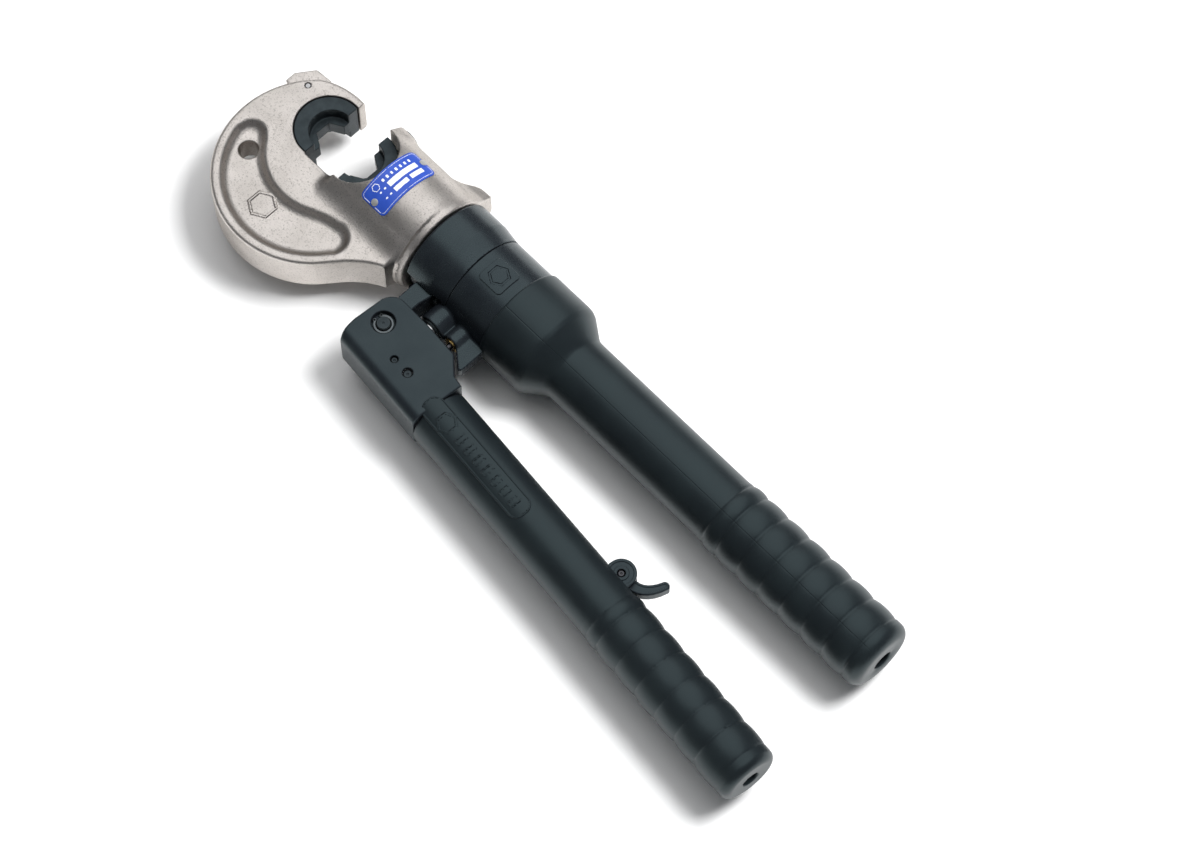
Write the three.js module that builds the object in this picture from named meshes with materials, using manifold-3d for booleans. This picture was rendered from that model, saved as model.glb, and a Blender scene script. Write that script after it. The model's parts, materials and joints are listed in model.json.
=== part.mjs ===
// Hand-pumped hydraulic crimping tool with an open C-shaped head.
// Units are millimetres. While the parts are drawn, X runs along the main axis from the butt of the
// fixed handle to the nose of the head, Y points at the pumping lever and Z is up. The mid-plane of
// the tool is Z = 0. The finished group is moved so that the origin is under the middle of its box.

import * as THREE from 'three';
import * as BufferGeometryUtils from 'three/addons/utils/BufferGeometryUtils.js';
import Module from 'manifold-3d';

const wasm = await Module();
wasm.setup();

// ---------------------------------------------------------------- driving dimensions

const GAP = 0.3; // running and assembly clearance between neighbouring pieces
const FINE = 32; // facets round a large diameter
const MEDIUM = 20; // facets round a handle
const COARSE = 12; // facets round a small pin or screw

// forged head
const FACE_X = 336.8; // joint face between the head and the pump body
const PLATE_HALF = 13.5; // half thickness of the C plate
const BARREL_R = 30.3; // outside of the barrel that holds the ram
const BORE_R = 21; // bore for the ram
const NOSE_BORE_R = 25; // counterbore that turns on the nose of the pump body
const NOSE_BORE_END = 352;
const RIM_CENTRE = [415.5, 23.8]; // centre of the round back of the C
const RIM_R = 57.7;
const POCKET_R = 52.4; // outer edge of the crescent pocket, about the same centre
const POCKET_DEPTH = 4.6;
const HANG_HOLE = { at: [452.3, 40.1], r: 5.6 };
const JAW_END_X = 427.2;
const BARREL_END_X = 404;
const RAM_WAY_END = 414.5; // the ram's bore runs on into the wall of the throat
const BOSS_FACE = [467.5, -16.4]; // mouth of the bore for the pin that holds the upper die
const BOSS_NORMAL = [0.819, -0.574]; // direction that bore opens in
const BUTTON_X = 399.2; // station of the lower die's button
const KEEPER_DEPTH = 12.2; // cross pin that keeps the upper pin in its bore

// rating plate, wrapped round the barrel
const PLATE_X = [363.2, 382.4];
const PLATE_ANGLE = 40; // half the angle it wraps, in degrees
const PLATE_SEAT_R = 29.7;
const PLATE_OUT_R = BARREL_R + 0.3;
const RIVET_ANGLES = { upper: 34, lower: -37 };
const RIVET_X = 372.8;

// dies
const SEAT_R = 19.9; // half-round seat in the jaw
const DIE_R = SEAT_R - GAP;
const UPPER_DIE_X = 429.8; // centre of the upper die's arc
const UPPER_FLAT_X = 428; // its parting face
const RAM_TRAVEL = 24;
const LOWER_FLAT_X = UPPER_FLAT_X - RAM_TRAVEL - 0.5;
const LOWER_DIE_X = LOWER_FLAT_X - 1.8;
const DIE_HALF = 12.8;
const DIE_WEB_HALF = 4.8; // the thin web that carries the hexagonal profile
const DIE_RECESS_R = 12.6;
const HEX_SIDE = 9;
const THROAT_R = 20.5;
const RAM_R = BORE_R - GAP;

// pump body, all turned about the X axis
const BODY_R = 28.8;
const COLLAR_R = 30.6;
const SLEEVE_R = 30;
const SLEEVE_LIP_X = 277.5;
const TUBE_R = 20.2; // rubber over the handle tube
const HANDLE_STEEL_R = 17;
const HANDLE_STEEL_BORE = 15;
const NOSE_WIRE_X = 341; // wire that keeps the head on the nose
const NOSE_SEAL_X = 346.5;
const LUG_HALF = 9; // half width of the lug that carries the lever
const FIN_HALF = 3.8; // half width of the fin that stops the lever
const FIN_BACK_X = 274.2;
const SUCTION = { y: -4, z: -9, bore: 3.4 }; // valve bore along X
const DELIVERY = { x: 314, y: -8, bore: 3.9 }; // valve bore along Z
const RELIEF = { x: 296, y: -2, bore: 4.4 }; // valve bore along Z

// pumping lever, drawn in its own frame: x along the lever towards the head, y away from the body
const LEVER_STATION = [320, 67.4];
const LEVER_ANGLE = THREE.MathUtils.degToRad(-5.15);
const PIVOT = [320, 60.1];
const PIVOT_LOCAL = [0.66, -7.27];
const CHEEK_HALF = 16.4; // half thickness of the lever block
const FORK_HALF = 9.6; // half width of the slot between its cheeks
const DRIVE = [-12.6, -16.6]; // roller that drives the plunger
const LEVER_TUBE_R = 14.3;
const LEVER_TUBE_BORE = 12.2;
const LEVER_R = 17.4;
const LEVER_SEAM_X = -56;
const LEVER_END_X = -320;
const PIN_R = 4;
const PLUNGER_X = 305;
const PLUNGER_R = 5;
const PLUNGER_FIT = 0.15; // radial clearance of the plunger and of the lever's pivot
const BOSS_TOP = 39;
const VALVE_X = 290.3;

// release trigger, in the lever frame
const TRIGGER_HUB = [-190.4, -18.4];
const TRIGGER_HALF = 3.6;
const CRANK_PIN = [-20.6, 1.6];
const TUBE_PIN = [-31.4, 0.9]; // fixes the lever tube in its block
const TUBE_FRONT = -25.5;
const ROD_Y = -9;
const ROD_R = 1.8;

// grip rings on the two handles: where the creases lie
const MAIN_CREASES = [10, 26, 41.8, 57.6, 73.4, 89.3, 104.7, 115];
const LEVER_CREASES = [-311, -294.4, -278, -261.7, -245.4, -229, -213.2, -204.6];

// ---------------------------------------------------------------- solids

function toManifold(geometry) {
  const bare = geometry.clone();
  bare.deleteAttribute('normal');
  bare.deleteAttribute('uv');
  const merged = BufferGeometryUtils.mergeVertices(bare, 1e-4);
  const vertProperties = new Float32Array(merged.attributes.position.array);
  const triVerts = new Uint32Array(merged.index.array);
  return new wasm.Manifold(new wasm.Mesh({ numProp: 3, vertProperties, triVerts }));
}

function toGeometry(manifold) {
  const mesh = manifold.getMesh();
  const geometry = new THREE.BufferGeometry();
  const positions = new Float32Array(mesh.vertProperties);
  geometry.setAttribute('position', new THREE.BufferAttribute(positions, 3));
  geometry.setIndex(new THREE.BufferAttribute(new Uint32Array(mesh.triVerts), 1));
  geometry.computeVertexNormals();
  return geometry;
}

function cut(base, ...tools) {
  let result = toManifold(base);
  for (const tool of tools) {
    result = result.subtract(toManifold(tool));
  }
  return toGeometry(result);
}

function join(...pieces) {
  let result = toManifold(pieces[0]);
  for (const piece of pieces.slice(1)) {
    result = result.add(toManifold(piece));
  }
  return toGeometry(result);
}

function common(base, tool) {
  return toGeometry(toManifold(base).intersect(toManifold(tool)));
}

// A turned piece on the X axis. The profile is a list of [x, radius] from one end to the other.
function turned(profile, facets = MEDIUM) {
  const points = profile.map(([x, r]) => new THREE.Vector2(r, x));
  return new THREE.LatheGeometry(points, facets).rotateZ(-Math.PI / 2);
}

// A plain rod between two points.
function rod(from, to, radius, facets = COARSE) {
  const start = new THREE.Vector3(...from);
  const end = new THREE.Vector3(...to);
  const along = end.clone().sub(start);
  const geometry = new THREE.CylinderGeometry(radius, radius, along.length(), facets);
  const turn = new THREE.Quaternion().setFromUnitVectors(new THREE.Vector3(0, 1, 0), along.normalize());
  return geometry.applyQuaternion(turn).translate(...start.add(end).multiplyScalar(0.5).toArray());
}

// A flat piece: an outline in X and Y, between two heights.
function plate(shape, low, high, facets = 9) {
  const settings = { depth: high - low, bevelEnabled: false, curveSegments: facets };
  return new THREE.ExtrudeGeometry(shape, settings).translate(0, 0, low);
}

function polygon(points) {
  return new THREE.Shape(points.map(([x, y]) => new THREE.Vector2(x, y)));
}

function disc(x, y, radius) {
  const shape = new THREE.Shape();
  shape.absarc(x, y, radius, 0, 2 * Math.PI, false);
  return shape;
}

function box(low, high) {
  const size = high.map((value, i) => value - low[i]);
  const middle = high.map((value, i) => (value + low[i]) / 2);
  return new THREE.BoxGeometry(...size).translate(...middle);
}

// A ring of round section about the X axis.
function ring(x, radius, section, facets = 24) {
  const points = [];
  for (let i = 0; i <= 5; i += 1) {
    const angle = (i / 5) * 2 * Math.PI;
    points.push(new THREE.Vector2(radius + section * Math.cos(angle), x + section * Math.sin(angle)));
  }
  return new THREE.LatheGeometry(points, facets).rotateZ(-Math.PI / 2);
}

class Helix extends THREE.Curve {
  constructor(radius, length, turns) {
    super();
    this.radius = radius;
    this.length = length;
    this.turns = turns;
  }

  getPoint(t, target = new THREE.Vector3()) {
    const angle = t * this.turns * 2 * Math.PI;
    const height = t * this.length;
    return target.set(this.radius * Math.cos(angle), height, this.radius * Math.sin(angle));
  }
}

// A coil spring along +Y from the origin.
function spring(radius, wire, length, turns) {
  const section = disc(0, 0, wire / 2);
  const settings = {
    steps: Math.round(turns * 7),
    curveSegments: 2,
    bevelEnabled: false,
    extrudePath: new Helix(radius, length, turns),
  };
  return new THREE.ExtrudeGeometry(section, settings);
}

const ALONG_X = new THREE.Matrix4().makeRotationZ(-Math.PI / 2);

// ---------------------------------------------------------------- materials and the scene graph

function finish(color, roughness, metalness) {
  return { color, roughness, metalness };
}

const NICKEL = finish(0xbdb8b0, 0.38, 0.85);
const BLUED = finish(0x2b343a, 0.42, 0.7);
const BLACK_BODY = finish(0x23282e, 0.4, 0.25);
const BLACK_RUBBER = finish(0x1d2026, 0.5, 0.0);
const STEEL = finish(0x9a9da0, 0.35, 0.9);
const GROUND = finish(0xb4b6b8, 0.2, 1.0);
const BRASS = finish(0xb8863f, 0.35, 0.9);
const BLUE_PLATE = finish(0x2d4bab, 0.35, 0.1);
const SEAL = finish(0x17181a, 0.6, 0.0);
const SPRING_STEEL = finish(0x8a8c90, 0.3, 0.95);

const tool = new THREE.Group();
const lever = new THREE.Group();
lever.position.set(LEVER_STATION[0], LEVER_STATION[1], 0);
lever.rotation.z = LEVER_ANGLE;
tool.add(lever);

function place(group, name, geometry, look) {
  const material = new THREE.MeshStandardMaterial({
    color: look.color,
    roughness: look.roughness,
    metalness: look.metalness,
  });
  const mesh = new THREE.Mesh(geometry, material);
  mesh.name = name;
  group.add(mesh);
  return mesh;
}

// ---------------------------------------------------------------- forged head

function headOutline() {
  const [cx, cy] = RIM_CENTRE;
  const shape = new THREE.Shape();
  shape.moveTo(345, 0);
  shape.lineTo(345, 36.6);
  shape.quadraticCurveTo(354, 40.5, 363, 50.2);
  shape.lineTo(cx + RIM_R * Math.cos(2.4), cy + RIM_R * Math.sin(2.4));
  shape.absarc(cx, cy, RIM_R, 2.4, -0.8, true);
  shape.quadraticCurveTo(446, -24, 433, -24.8);
  shape.lineTo(JAW_END_X, -24.8);
  shape.lineTo(JAW_END_X, -27);
  shape.lineTo(BARREL_END_X - 10, -27);
  shape.lineTo(BARREL_END_X - 10, 0);
  return shape;
}

function pocketOutline() {
  const [cx, cy] = RIM_CENTRE;
  const tail = [379, 45.5];
  const tip = [457.4, 33.2];
  const shape = new THREE.Shape();
  shape.absarc(cx, cy, POCKET_R, 0.23, 2.45, false);
  shape.absarc(tail[0], tail[1], 10.6, 2.7, 5.1, false);
  shape.quadraticCurveTo(390, 36.4, 397, 40);
  shape.absarc(417.5, 7.5, 38, 2.1, 0.62, true);
  shape.absarc(tip[0], tip[1], 8.6, 3.95, 6.3, false);
  return shape;
}

// Space swept by the dies: a slot with round ends, open on the side away from the lever.
function throat() {
  const tall = BARREL_R + 1;
  const ends = [
    plate(disc(UPPER_DIE_X, 0, SEAT_R), -tall, tall, 14),
    plate(disc(LOWER_DIE_X, 0, THROAT_R), -tall, tall, 14),
  ];
  const middle = box([LOWER_DIE_X, -40, -tall], [JAW_END_X, THROAT_R, tall]);
  const seatSide = box([JAW_END_X - 1, -SEAT_R, -tall], [UPPER_DIE_X, SEAT_R, tall]);
  return join(ends[0], ends[1], middle, seatSide);
}

// A point on the upper pin's axis, at a depth below the mouth of its bore.
function alongBoss(depth) {
  return [BOSS_FACE[0] - BOSS_NORMAL[0] * depth, BOSS_FACE[1] - BOSS_NORMAL[1] * depth, 0];
}

function barrel() {
  const flange = 31;
  return turned(
    [
      [FACE_X, 0], [FACE_X, 29.4], [338.4, flange], [342, flange], [344.5, BARREL_R],
      [BARREL_END_X - 3, BARREL_R], [BARREL_END_X, BARREL_R - 3], [BARREL_END_X, 0],
    ],
    FINE,
  );
}

function ramBore() {
  return turned(
    [
      [FACE_X - 2, 0], [FACE_X - 2, NOSE_BORE_R], [NOSE_BORE_END, NOSE_BORE_R], [NOSE_BORE_END, BORE_R],
      [RAM_WAY_END, BORE_R], [RAM_WAY_END, 0],
    ],
    FINE,
  );
}

// The upper pin's stepped bore, the hole for its keeper and the seat of the lower button.
function headDrillings() {
  const keeper = alongBoss(KEEPER_DEPTH).slice(0, 2);
  return [
    rod(alongBoss(-2), alongBoss(8), 4.8),
    rod(alongBoss(7), alongBoss(24), 3.3),
    rod([...keeper, -20], [...keeper, 20], 1.8),
    rod([BUTTON_X, -35, 0], [BUTTON_X, -25.2, 0], 6.6),
    rod([BUTTON_X, -26, 0], [BUTTON_X, -15, 0], 2.6),
    rivetRod(RIVET_ANGLES.upper, 24, 34, 1.3),
    rivetRod(RIVET_ANGLES.lower, 24, 34, 1.3),
  ];
}

function headFrame() {
  const slab = plate(headOutline(), -PLATE_HALF, PLATE_HALF, 16);
  const ear = polygon([
    [FACE_X + 1, 0], [FACE_X + 1, -36], [338.6, -37.2], [345.6, -36.8], [348.6, -35.2], [359.5, -25],
    [359.5, 0],
  ]);
  const boss = polygon([[462, -2], [471.2, -4.5], [471.2, -11.2], [463.9, -21.6], [453, -22.5], [450, -14]]);
  const pockets = [
    plate(pocketOutline(), PLATE_HALF - POCKET_DEPTH, PLATE_HALF + 2, 7),
    plate(pocketOutline(), -PLATE_HALF - 2, -PLATE_HALF + POCKET_DEPTH, 7),
  ];
  const hole = plate(disc(...HANG_HOLE.at, HANG_HOLE.r), -20, 20, 10);
  return cut(
    join(slab, barrel(), plate(ear, -PLATE_HALF, PLATE_HALF), plate(boss, -8, 8)),
    ramBore(), throat(), ...pockets, hole, ...headDrillings(),
    plateSeat(PLATE_SEAT_R, PLATE_SEAT_R + 4, 0.25),
  );
}

// ---------------------------------------------------------------- rating plate and its rivets

// A strip of a cylinder's wall, from radius inner to outer, with a margin round its edge.
function plateSeat(inner, outer, margin) {
  const half = THREE.MathUtils.degToRad(PLATE_ANGLE) + margin / inner;
  const shape = new THREE.Shape();
  shape.absarc(0, 0, outer, Math.PI / 2 - half, Math.PI / 2 + half, false);
  shape.absarc(0, 0, inner, Math.PI / 2 + half, Math.PI / 2 - half, true);
  const width = PLATE_X[1] - PLATE_X[0] + 2 * margin;
  const settings = { depth: width, bevelEnabled: false, curveSegments: 9 };
  return new THREE.ExtrudeGeometry(shape, settings)
    .rotateX(Math.PI / 2)
    .rotateZ(Math.PI / 2)
    .translate(PLATE_X[0] - margin, 0, 0);
}

function rivetRod(angle, low, high, radius) {
  const a = THREE.MathUtils.degToRad(angle);
  const at = (r) => [RIVET_X, r * Math.sin(a), r * Math.cos(a)];
  return rod(at(low), at(high), radius, 12);
}

function ratingPlate() {
  return cut(
    plateSeat(PLATE_SEAT_R + 0.2, PLATE_OUT_R, 0),
    rivetRod(RIVET_ANGLES.upper, 20, 40, 1.5),
    rivetRod(RIVET_ANGLES.lower, 20, 40, 1.5),
  );
}

function plateRivet(angle) {
  const shank = rivetRod(angle, 24.6, PLATE_OUT_R + 0.5, 1.1);
  const head = rivetRod(angle, PLATE_OUT_R + 0.25, PLATE_OUT_R + 0.9, 2.2);
  return join(shank, head);
}

// ---------------------------------------------------------------- dies

// A half-moon die that opens towards +X when facing is 1 and towards -X when it is -1.
function die(centreX, flatX, facing) {
  const round = plate(disc(centreX, 0, DIE_R), -DIE_HALF, DIE_HALF, 14);
  const past = facing > 0 ? [flatX, flatX + 40] : [flatX - 40, flatX];
  const trim = box([past[0], -30, -30], [past[1], 30, 30]);
  const recesses = [1, -1].map((side) => {
    const low = side > 0 ? DIE_WEB_HALF : -DIE_HALF - 1;
    const high = side > 0 ? DIE_HALF + 1 : -DIE_WEB_HALF;
    return plate(disc(flatX, 0, DIE_RECESS_R), low, high, 14);
  });
  const deep = -facing * HEX_SIDE * Math.sin(Math.PI / 3);
  const hex = polygon([
    [flatX + facing, -HEX_SIDE], [flatX, -HEX_SIDE], [flatX + deep, -HEX_SIDE / 2],
    [flatX + deep, HEX_SIDE / 2], [flatX, HEX_SIDE], [flatX + facing, HEX_SIDE],
  ]);
  return cut(round, trim, recesses[0], recesses[1], plate(hex, -DIE_HALF - 1, DIE_HALF + 1));
}

function upperDie() {
  return cut(die(UPPER_DIE_X, UPPER_FLAT_X, -1), rod(alongBoss(0), alongBoss(27), 2.9, 12));
}

function lowerDie() {
  return die(LOWER_DIE_X, LOWER_FLAT_X, 1);
}

// The pin's waist is longer than the keeper is thick, and that sets its travel.
function upperDiePin() {
  const button = rod(alongBoss(0.4), alongBoss(3.2), 4.3);
  const shank = rod(alongBoss(3), alongBoss(24.6), 2.5);
  const waist = [KEEPER_DEPTH, KEEPER_DEPTH - 1.4].map((depth) => {
    const at = alongBoss(depth).slice(0, 2);
    return rod([...at, -9], [...at, 9], 1.8);
  });
  return cut(join(button, shank), ...waist);
}

function upperPinSpring() {
  const coil = spring(3.6, 0.8, 3.4, 3);
  const along = new THREE.Vector3(-BOSS_NORMAL[0], -BOSS_NORMAL[1], 0);
  const turn = new THREE.Quaternion().setFromUnitVectors(new THREE.Vector3(0, 1, 0), along);
  return coil.applyQuaternion(turn).translate(...alongBoss(3.9));
}

function upperPinKeeper() {
  const at = alongBoss(KEEPER_DEPTH).slice(0, 2);
  return rod([...at, -PLATE_HALF + 0.6], [...at, PLATE_HALF - 0.6], 1.4, 12);
}

function lowerDieButton() {
  const cap = rod([BUTTON_X, -32.4, 0], [BUTTON_X, -28.4, 0], 6.3, 16);
  const stem = rod([BUTTON_X, -28.6, 0], [BUTTON_X, -22.4, 0], 2.3);
  return join(cap, stem);
}

function lowerButtonSpring() {
  return spring(4, 0.8, 2, 2).translate(BUTTON_X, -27.8, 0);
}

// ---------------------------------------------------------------- ram, in the barrel

function ram() {
  const body = turned([[355, 0], [355, RAM_R - GAP], [358, RAM_R], [400, RAM_R], [400, 0]], FINE);
  const seat = plate(disc(LOWER_DIE_X, 0, SEAT_R), -25, 25, 14);
  const cheeks = box([LOWER_DIE_X - 14, -30, -30], [410, 30, 30]);
  const springPocket = turned([[350, 0], [350, 9.5], [376, 9.5], [376, 0]]);
  const sealGroove = turned([[361, 18.4], [361, 24], [365, 24], [365, 18.4], [361, 18.4]], FINE);
  return cut(body, seat, cheeks, springPocket, sealGroove);
}

function ramSeal() {
  return ring(363, 19.4, 0.9);
}

function returnSpring() {
  return spring(7.4, 2, 20, 5).applyMatrix4(ALONG_X).translate(353.5, 0, 0);
}

// ---------------------------------------------------------------- pump body

// Four corners of a square groove in the nose.
function groove(x, half, floor) {
  return [[x - half, 24], [x - half, floor], [x + half, floor], [x + half, 24]];
}

function pumpCore() {
  return turned(
    [
      [248, 0], [248, 20], [262, BODY_R - 2.5], [276, BODY_R - 2.5], [276, BODY_R], [306.5, BODY_R],
      [306.7, 26.4], [FACE_X - GAP, 26.4], [FACE_X - GAP, 24],
      ...groove(NOSE_WIRE_X, 1.5, 22.5), ...groove(NOSE_SEAL_X, 1.6, 22.7), [350.4, 24], [350.4, 0],
    ],
    FINE,
  );
}

function lug() {
  const outline = polygon([
    [313, 10], [329, 10], [328.6, 36], [328.4, PIVOT[1]], [326, 66], [320, 68.6], [314, 66],
    [311.6, PIVOT[1]], [317.6, 44], [317.6, 36],
  ]);
  return plate(outline, -LUG_HALF, LUG_HALF);
}

function stopFin() {
  const outline = polygon([
    [FIN_BACK_X, 20], [FIN_BACK_X, 45.4], [276, 47], [284, 40.5], [292, 34], [292, 20],
  ]);
  return plate(outline, -FIN_HALF, FIN_HALF);
}

function pumpDrillings() {
  return [
    rod([...PIVOT, -20], [...PIVOT, 20], PIN_R + PLUNGER_FIT, 16),
    rod([PLUNGER_X, -8, 0], [PLUNGER_X, 50, 0], PLUNGER_R + PLUNGER_FIT, 16),
    rod([PLUNGER_X, 31, 0], [PLUNGER_X, 50, 0], 6.8, 14),
    rod([VALVE_X, 4, 0], [VALVE_X, 50, 0], 2.6, 16),
    rod([VALVE_X, 24, 0], [VALVE_X, 50, 0], 4.6, 16),
    rod([300, DELIVERY.y, 0], [352, DELIVERY.y, 0], 2),
    rod([262, SUCTION.y, SUCTION.z], [296, SUCTION.y, SUCTION.z], SUCTION.bore, 16),
    rod([DELIVERY.x, DELIVERY.y, 8], [DELIVERY.x, DELIVERY.y, 40], DELIVERY.bore, 16),
    rod([RELIEF.x, RELIEF.y, -40], [RELIEF.x, RELIEF.y, -12], RELIEF.bore, 16),
  ];
}

function pumpBlock() {
  const plungerBoss = rod([PLUNGER_X, 8, 0], [PLUNGER_X, BOSS_TOP, 0], 8.6, 16);
  const valveBoss = rod([VALVE_X, 8, 0], [VALVE_X, BOSS_TOP - 1, 0], 6.4, 14);
  const socketR = HANDLE_STEEL_R + GAP;
  const tubeSocket = turned([[240, 0], [240, socketR], [266, socketR], [266, 0]], MEDIUM);
  return cut(join(pumpCore(), lug(), plungerBoss, valveBoss, stopFin()), tubeSocket, ...pumpDrillings());
}

function frontCollar() {
  const profile = [
    [307, 28.95], [318, COLLAR_R], [334.6, COLLAR_R], [FACE_X - GAP, COLLAR_R - 1.6],
    [FACE_X - GAP, 26.7], [307, 26.7], [307, 28.95],
  ];
  const sleeve = turned(profile, FINE);
  const window = box([309.5, 10, -10.3], [340, 40, 10.3]);
  const plungerWay = rod([PLUNGER_X, 5, 0], [PLUNGER_X, 50, 0], 9, 16);
  const plugWay = rod([DELIVERY.x, DELIVERY.y, 20], [DELIVERY.x, DELIVERY.y, 40], DELIVERY.bore + GAP, 16);
  return cut(sleeve, window, plungerWay, plugWay);
}

function swivelSeal() {
  return ring(NOSE_SEAL_X, 23.9, 0.9);
}

function swivelWire() {
  return ring(NOSE_WIRE_X, 23.7, 0.9);
}

function handleTube() {
  const profile = [
    [10, HANDLE_STEEL_BORE], [10, HANDLE_STEEL_R], [265, HANDLE_STEEL_R], [265, HANDLE_STEEL_BORE],
    [10, HANDLE_STEEL_BORE],
  ];
  return turned(profile, MEDIUM);
}

function oilBladder() {
  const outer = 13.6;
  const inner = 12.4;
  const profile = [
    [46, 0], [48, 8], [60, outer], [240, outer],
    [240, inner], [61, inner], [49.4, 6.8], [47.4, 0],
  ];
  return turned(profile, 14);
}

// Rubber rings: a low arch between every two creases.
function arches(creases, base, height, steps) {
  const points = [];
  for (let i = 0; i < creases.length - 1; i += 1) {
    const span = creases[i + 1] - creases[i];
    for (let k = 0; k < steps; k += 1) {
      const t = k / steps;
      const rise = height * Math.pow(Math.sin(Math.PI * t), 0.6);
      points.push([creases[i] + span * t, base + (k === 0 ? 0 : rise)]);
    }
  }
  points.push([creases[creases.length - 1], base]);
  return points;
}

function mainGrip() {
  const outside = [
    [0, 6], [0, 14.5], [1.2, 18], [4, 20.4], [7, 20.9],
    ...arches(MAIN_CREASES, 20.5, 0.8, 3),
    [118, TUBE_R], [233, TUBE_R], [235.5, 20.9], [246, 28.6], [250, SLEEVE_R], [270, SLEEVE_R],
    [276.6, SLEEVE_R], [SLEEVE_LIP_X, SLEEVE_R - 0.8],
  ];
  const inside = [
    [SLEEVE_LIP_X, BODY_R + 0.5], [275.7, BODY_R + 0.5], [275.7, BODY_R - 1.7], [261.8, BODY_R - 1.7],
    [247.7, 20.7], [247.7, HANDLE_STEEL_R + GAP], [9.7, HANDLE_STEEL_R + GAP], [9.7, 9], [2.4, 9], [2.4, 6],
    [0, 6],
  ];
  const sleeve = turned(outside.concat(inside), MEDIUM);
  const finHalf = FIN_HALF + GAP;
  return cut(sleeve, box([FIN_BACK_X - GAP, 10, -finHalf], [290, 50, finHalf]));
}

function reservoirPlug() {
  const body = turned([[3, 0], [3, 8.6], [10, 8.6], [10, 14.6], [16, 14.6], [16, 0]], 14);
  return cut(body, box([2, -6, -1.1], [4.6, 6, 1.1]));
}

// ---------------------------------------------------------------- valves, in the pump block

function suctionBall() {
  return new THREE.SphereGeometry(2.6, 12, 8).translate(292.8, SUCTION.y, SUCTION.z);
}

function suctionSpring() {
  return spring(2.4, 0.6, 8, 4).applyMatrix4(ALONG_X).translate(281, SUCTION.y, SUCTION.z);
}

function suctionScreen() {
  const { y, z, bore } = SUCTION;
  return cut(rod([268.5, y, z], [279.5, y, z], bore - GAP), rod([262, y, z], [278, y, z], bore / 2));
}

function deliveryBall() {
  return new THREE.SphereGeometry(3, 12, 8).translate(DELIVERY.x, DELIVERY.y, 11.6);
}

function deliverySpring() {
  return spring(2.6, 0.6, 5, 3).rotateX(Math.PI / 2).translate(DELIVERY.x, DELIVERY.y, 15.2);
}

function deliveryPlug() {
  const { x, y, bore } = DELIVERY;
  return cut(rod([x, y, 21], [x, y, 25.6], bore - GAP), plate(hexagon(x, y, 1.6), 23.6, 27));
}

function hexagon(x, y, radius) {
  const points = [];
  for (let i = 0; i < 6; i += 1) {
    const angle = (i * Math.PI) / 3;
    points.push([x + radius * Math.cos(angle), y + radius * Math.sin(angle)]);
  }
  return polygon(points);
}

function reliefBall() {
  return new THREE.SphereGeometry(2.4, 12, 8).translate(RELIEF.x, RELIEF.y, -14.6);
}

function reliefSpring() {
  return spring(2.8, 0.8, 5, 3).rotateX(-Math.PI / 2).translate(RELIEF.x, RELIEF.y, -17.6);
}

function reliefScrew() {
  const { x, y, bore } = RELIEF;
  const slot = box([x - bore, y - 0.6, -28], [x + bore, y + 0.6, -26]);
  return cut(rod([x, y, -23.4], [x, y, -27.2], bore - GAP), slot);
}

// ---------------------------------------------------------------- plunger and release valve

function plungerGland() {
  const body = rod([PLUNGER_X, 31.3, 0], [PLUNGER_X, 40, 0], 6.5, 14);
  return cut(body, rod([PLUNGER_X, 20, 0], [PLUNGER_X, 50, 0], PLUNGER_R + PLUNGER_FIT, 24));
}

function pumpPlunger() {
  const shank = rod([PLUNGER_X, -4, 0], [PLUNGER_X, 45, 0], PLUNGER_R, 16);
  const cap = rod([PLUNGER_X, 44.8, 0], [PLUNGER_X, 47.3, 0], 6.4, 16);
  return join(shank, cap);
}

function releaseSeat() {
  const body = rod([VALVE_X, 24.3, 0], [VALVE_X, BOSS_TOP, 0], 4.3);
  return cut(body, rod([VALVE_X, 10, 0], [VALVE_X, 50, 0], 2.3));
}

function releaseStem() {
  const stem = rod([VALVE_X, 10, 0], [VALVE_X, 41.6, 0], 2);
  const head = rod([VALVE_X, 41.3, 0], [VALVE_X, 43.1, 0], 3.4);
  return join(stem, head);
}

// ---------------------------------------------------------------- pumping lever

function leverBlockOutline() {
  const shape = new THREE.Shape();
  shape.moveTo(-55.7, -LEVER_R + 0.4);
  shape.lineTo(-48.6, -17.6);
  shape.lineTo(-38.2, -25.3);
  shape.lineTo(-16, -25.1);
  shape.lineTo(4.4, -23.8);
  shape.quadraticCurveTo(10.6, -22.6, 12.4, -15.5);
  shape.lineTo(12.4, 3);
  shape.quadraticCurveTo(11.8, 11, 8.6, LEVER_R - 0.6);
  shape.lineTo(-55.7, LEVER_R - 0.6);
  return shape;
}

// The block's cross-section: flat cheeks, with the outer side rounded.
function leverBlockSection() {
  const half = CHEEK_HALF;
  const shape = new THREE.Shape();
  shape.moveTo(-30, -half);
  shape.lineTo(9.5, -half);
  shape.absarc(9.5, -half + 7.2, 7.2, -Math.PI / 2, 0, false);
  shape.absarc(9.5, half - 7.2, 7.2, 0, Math.PI / 2, false);
  shape.lineTo(-30, half);
  return shape;
}

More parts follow.
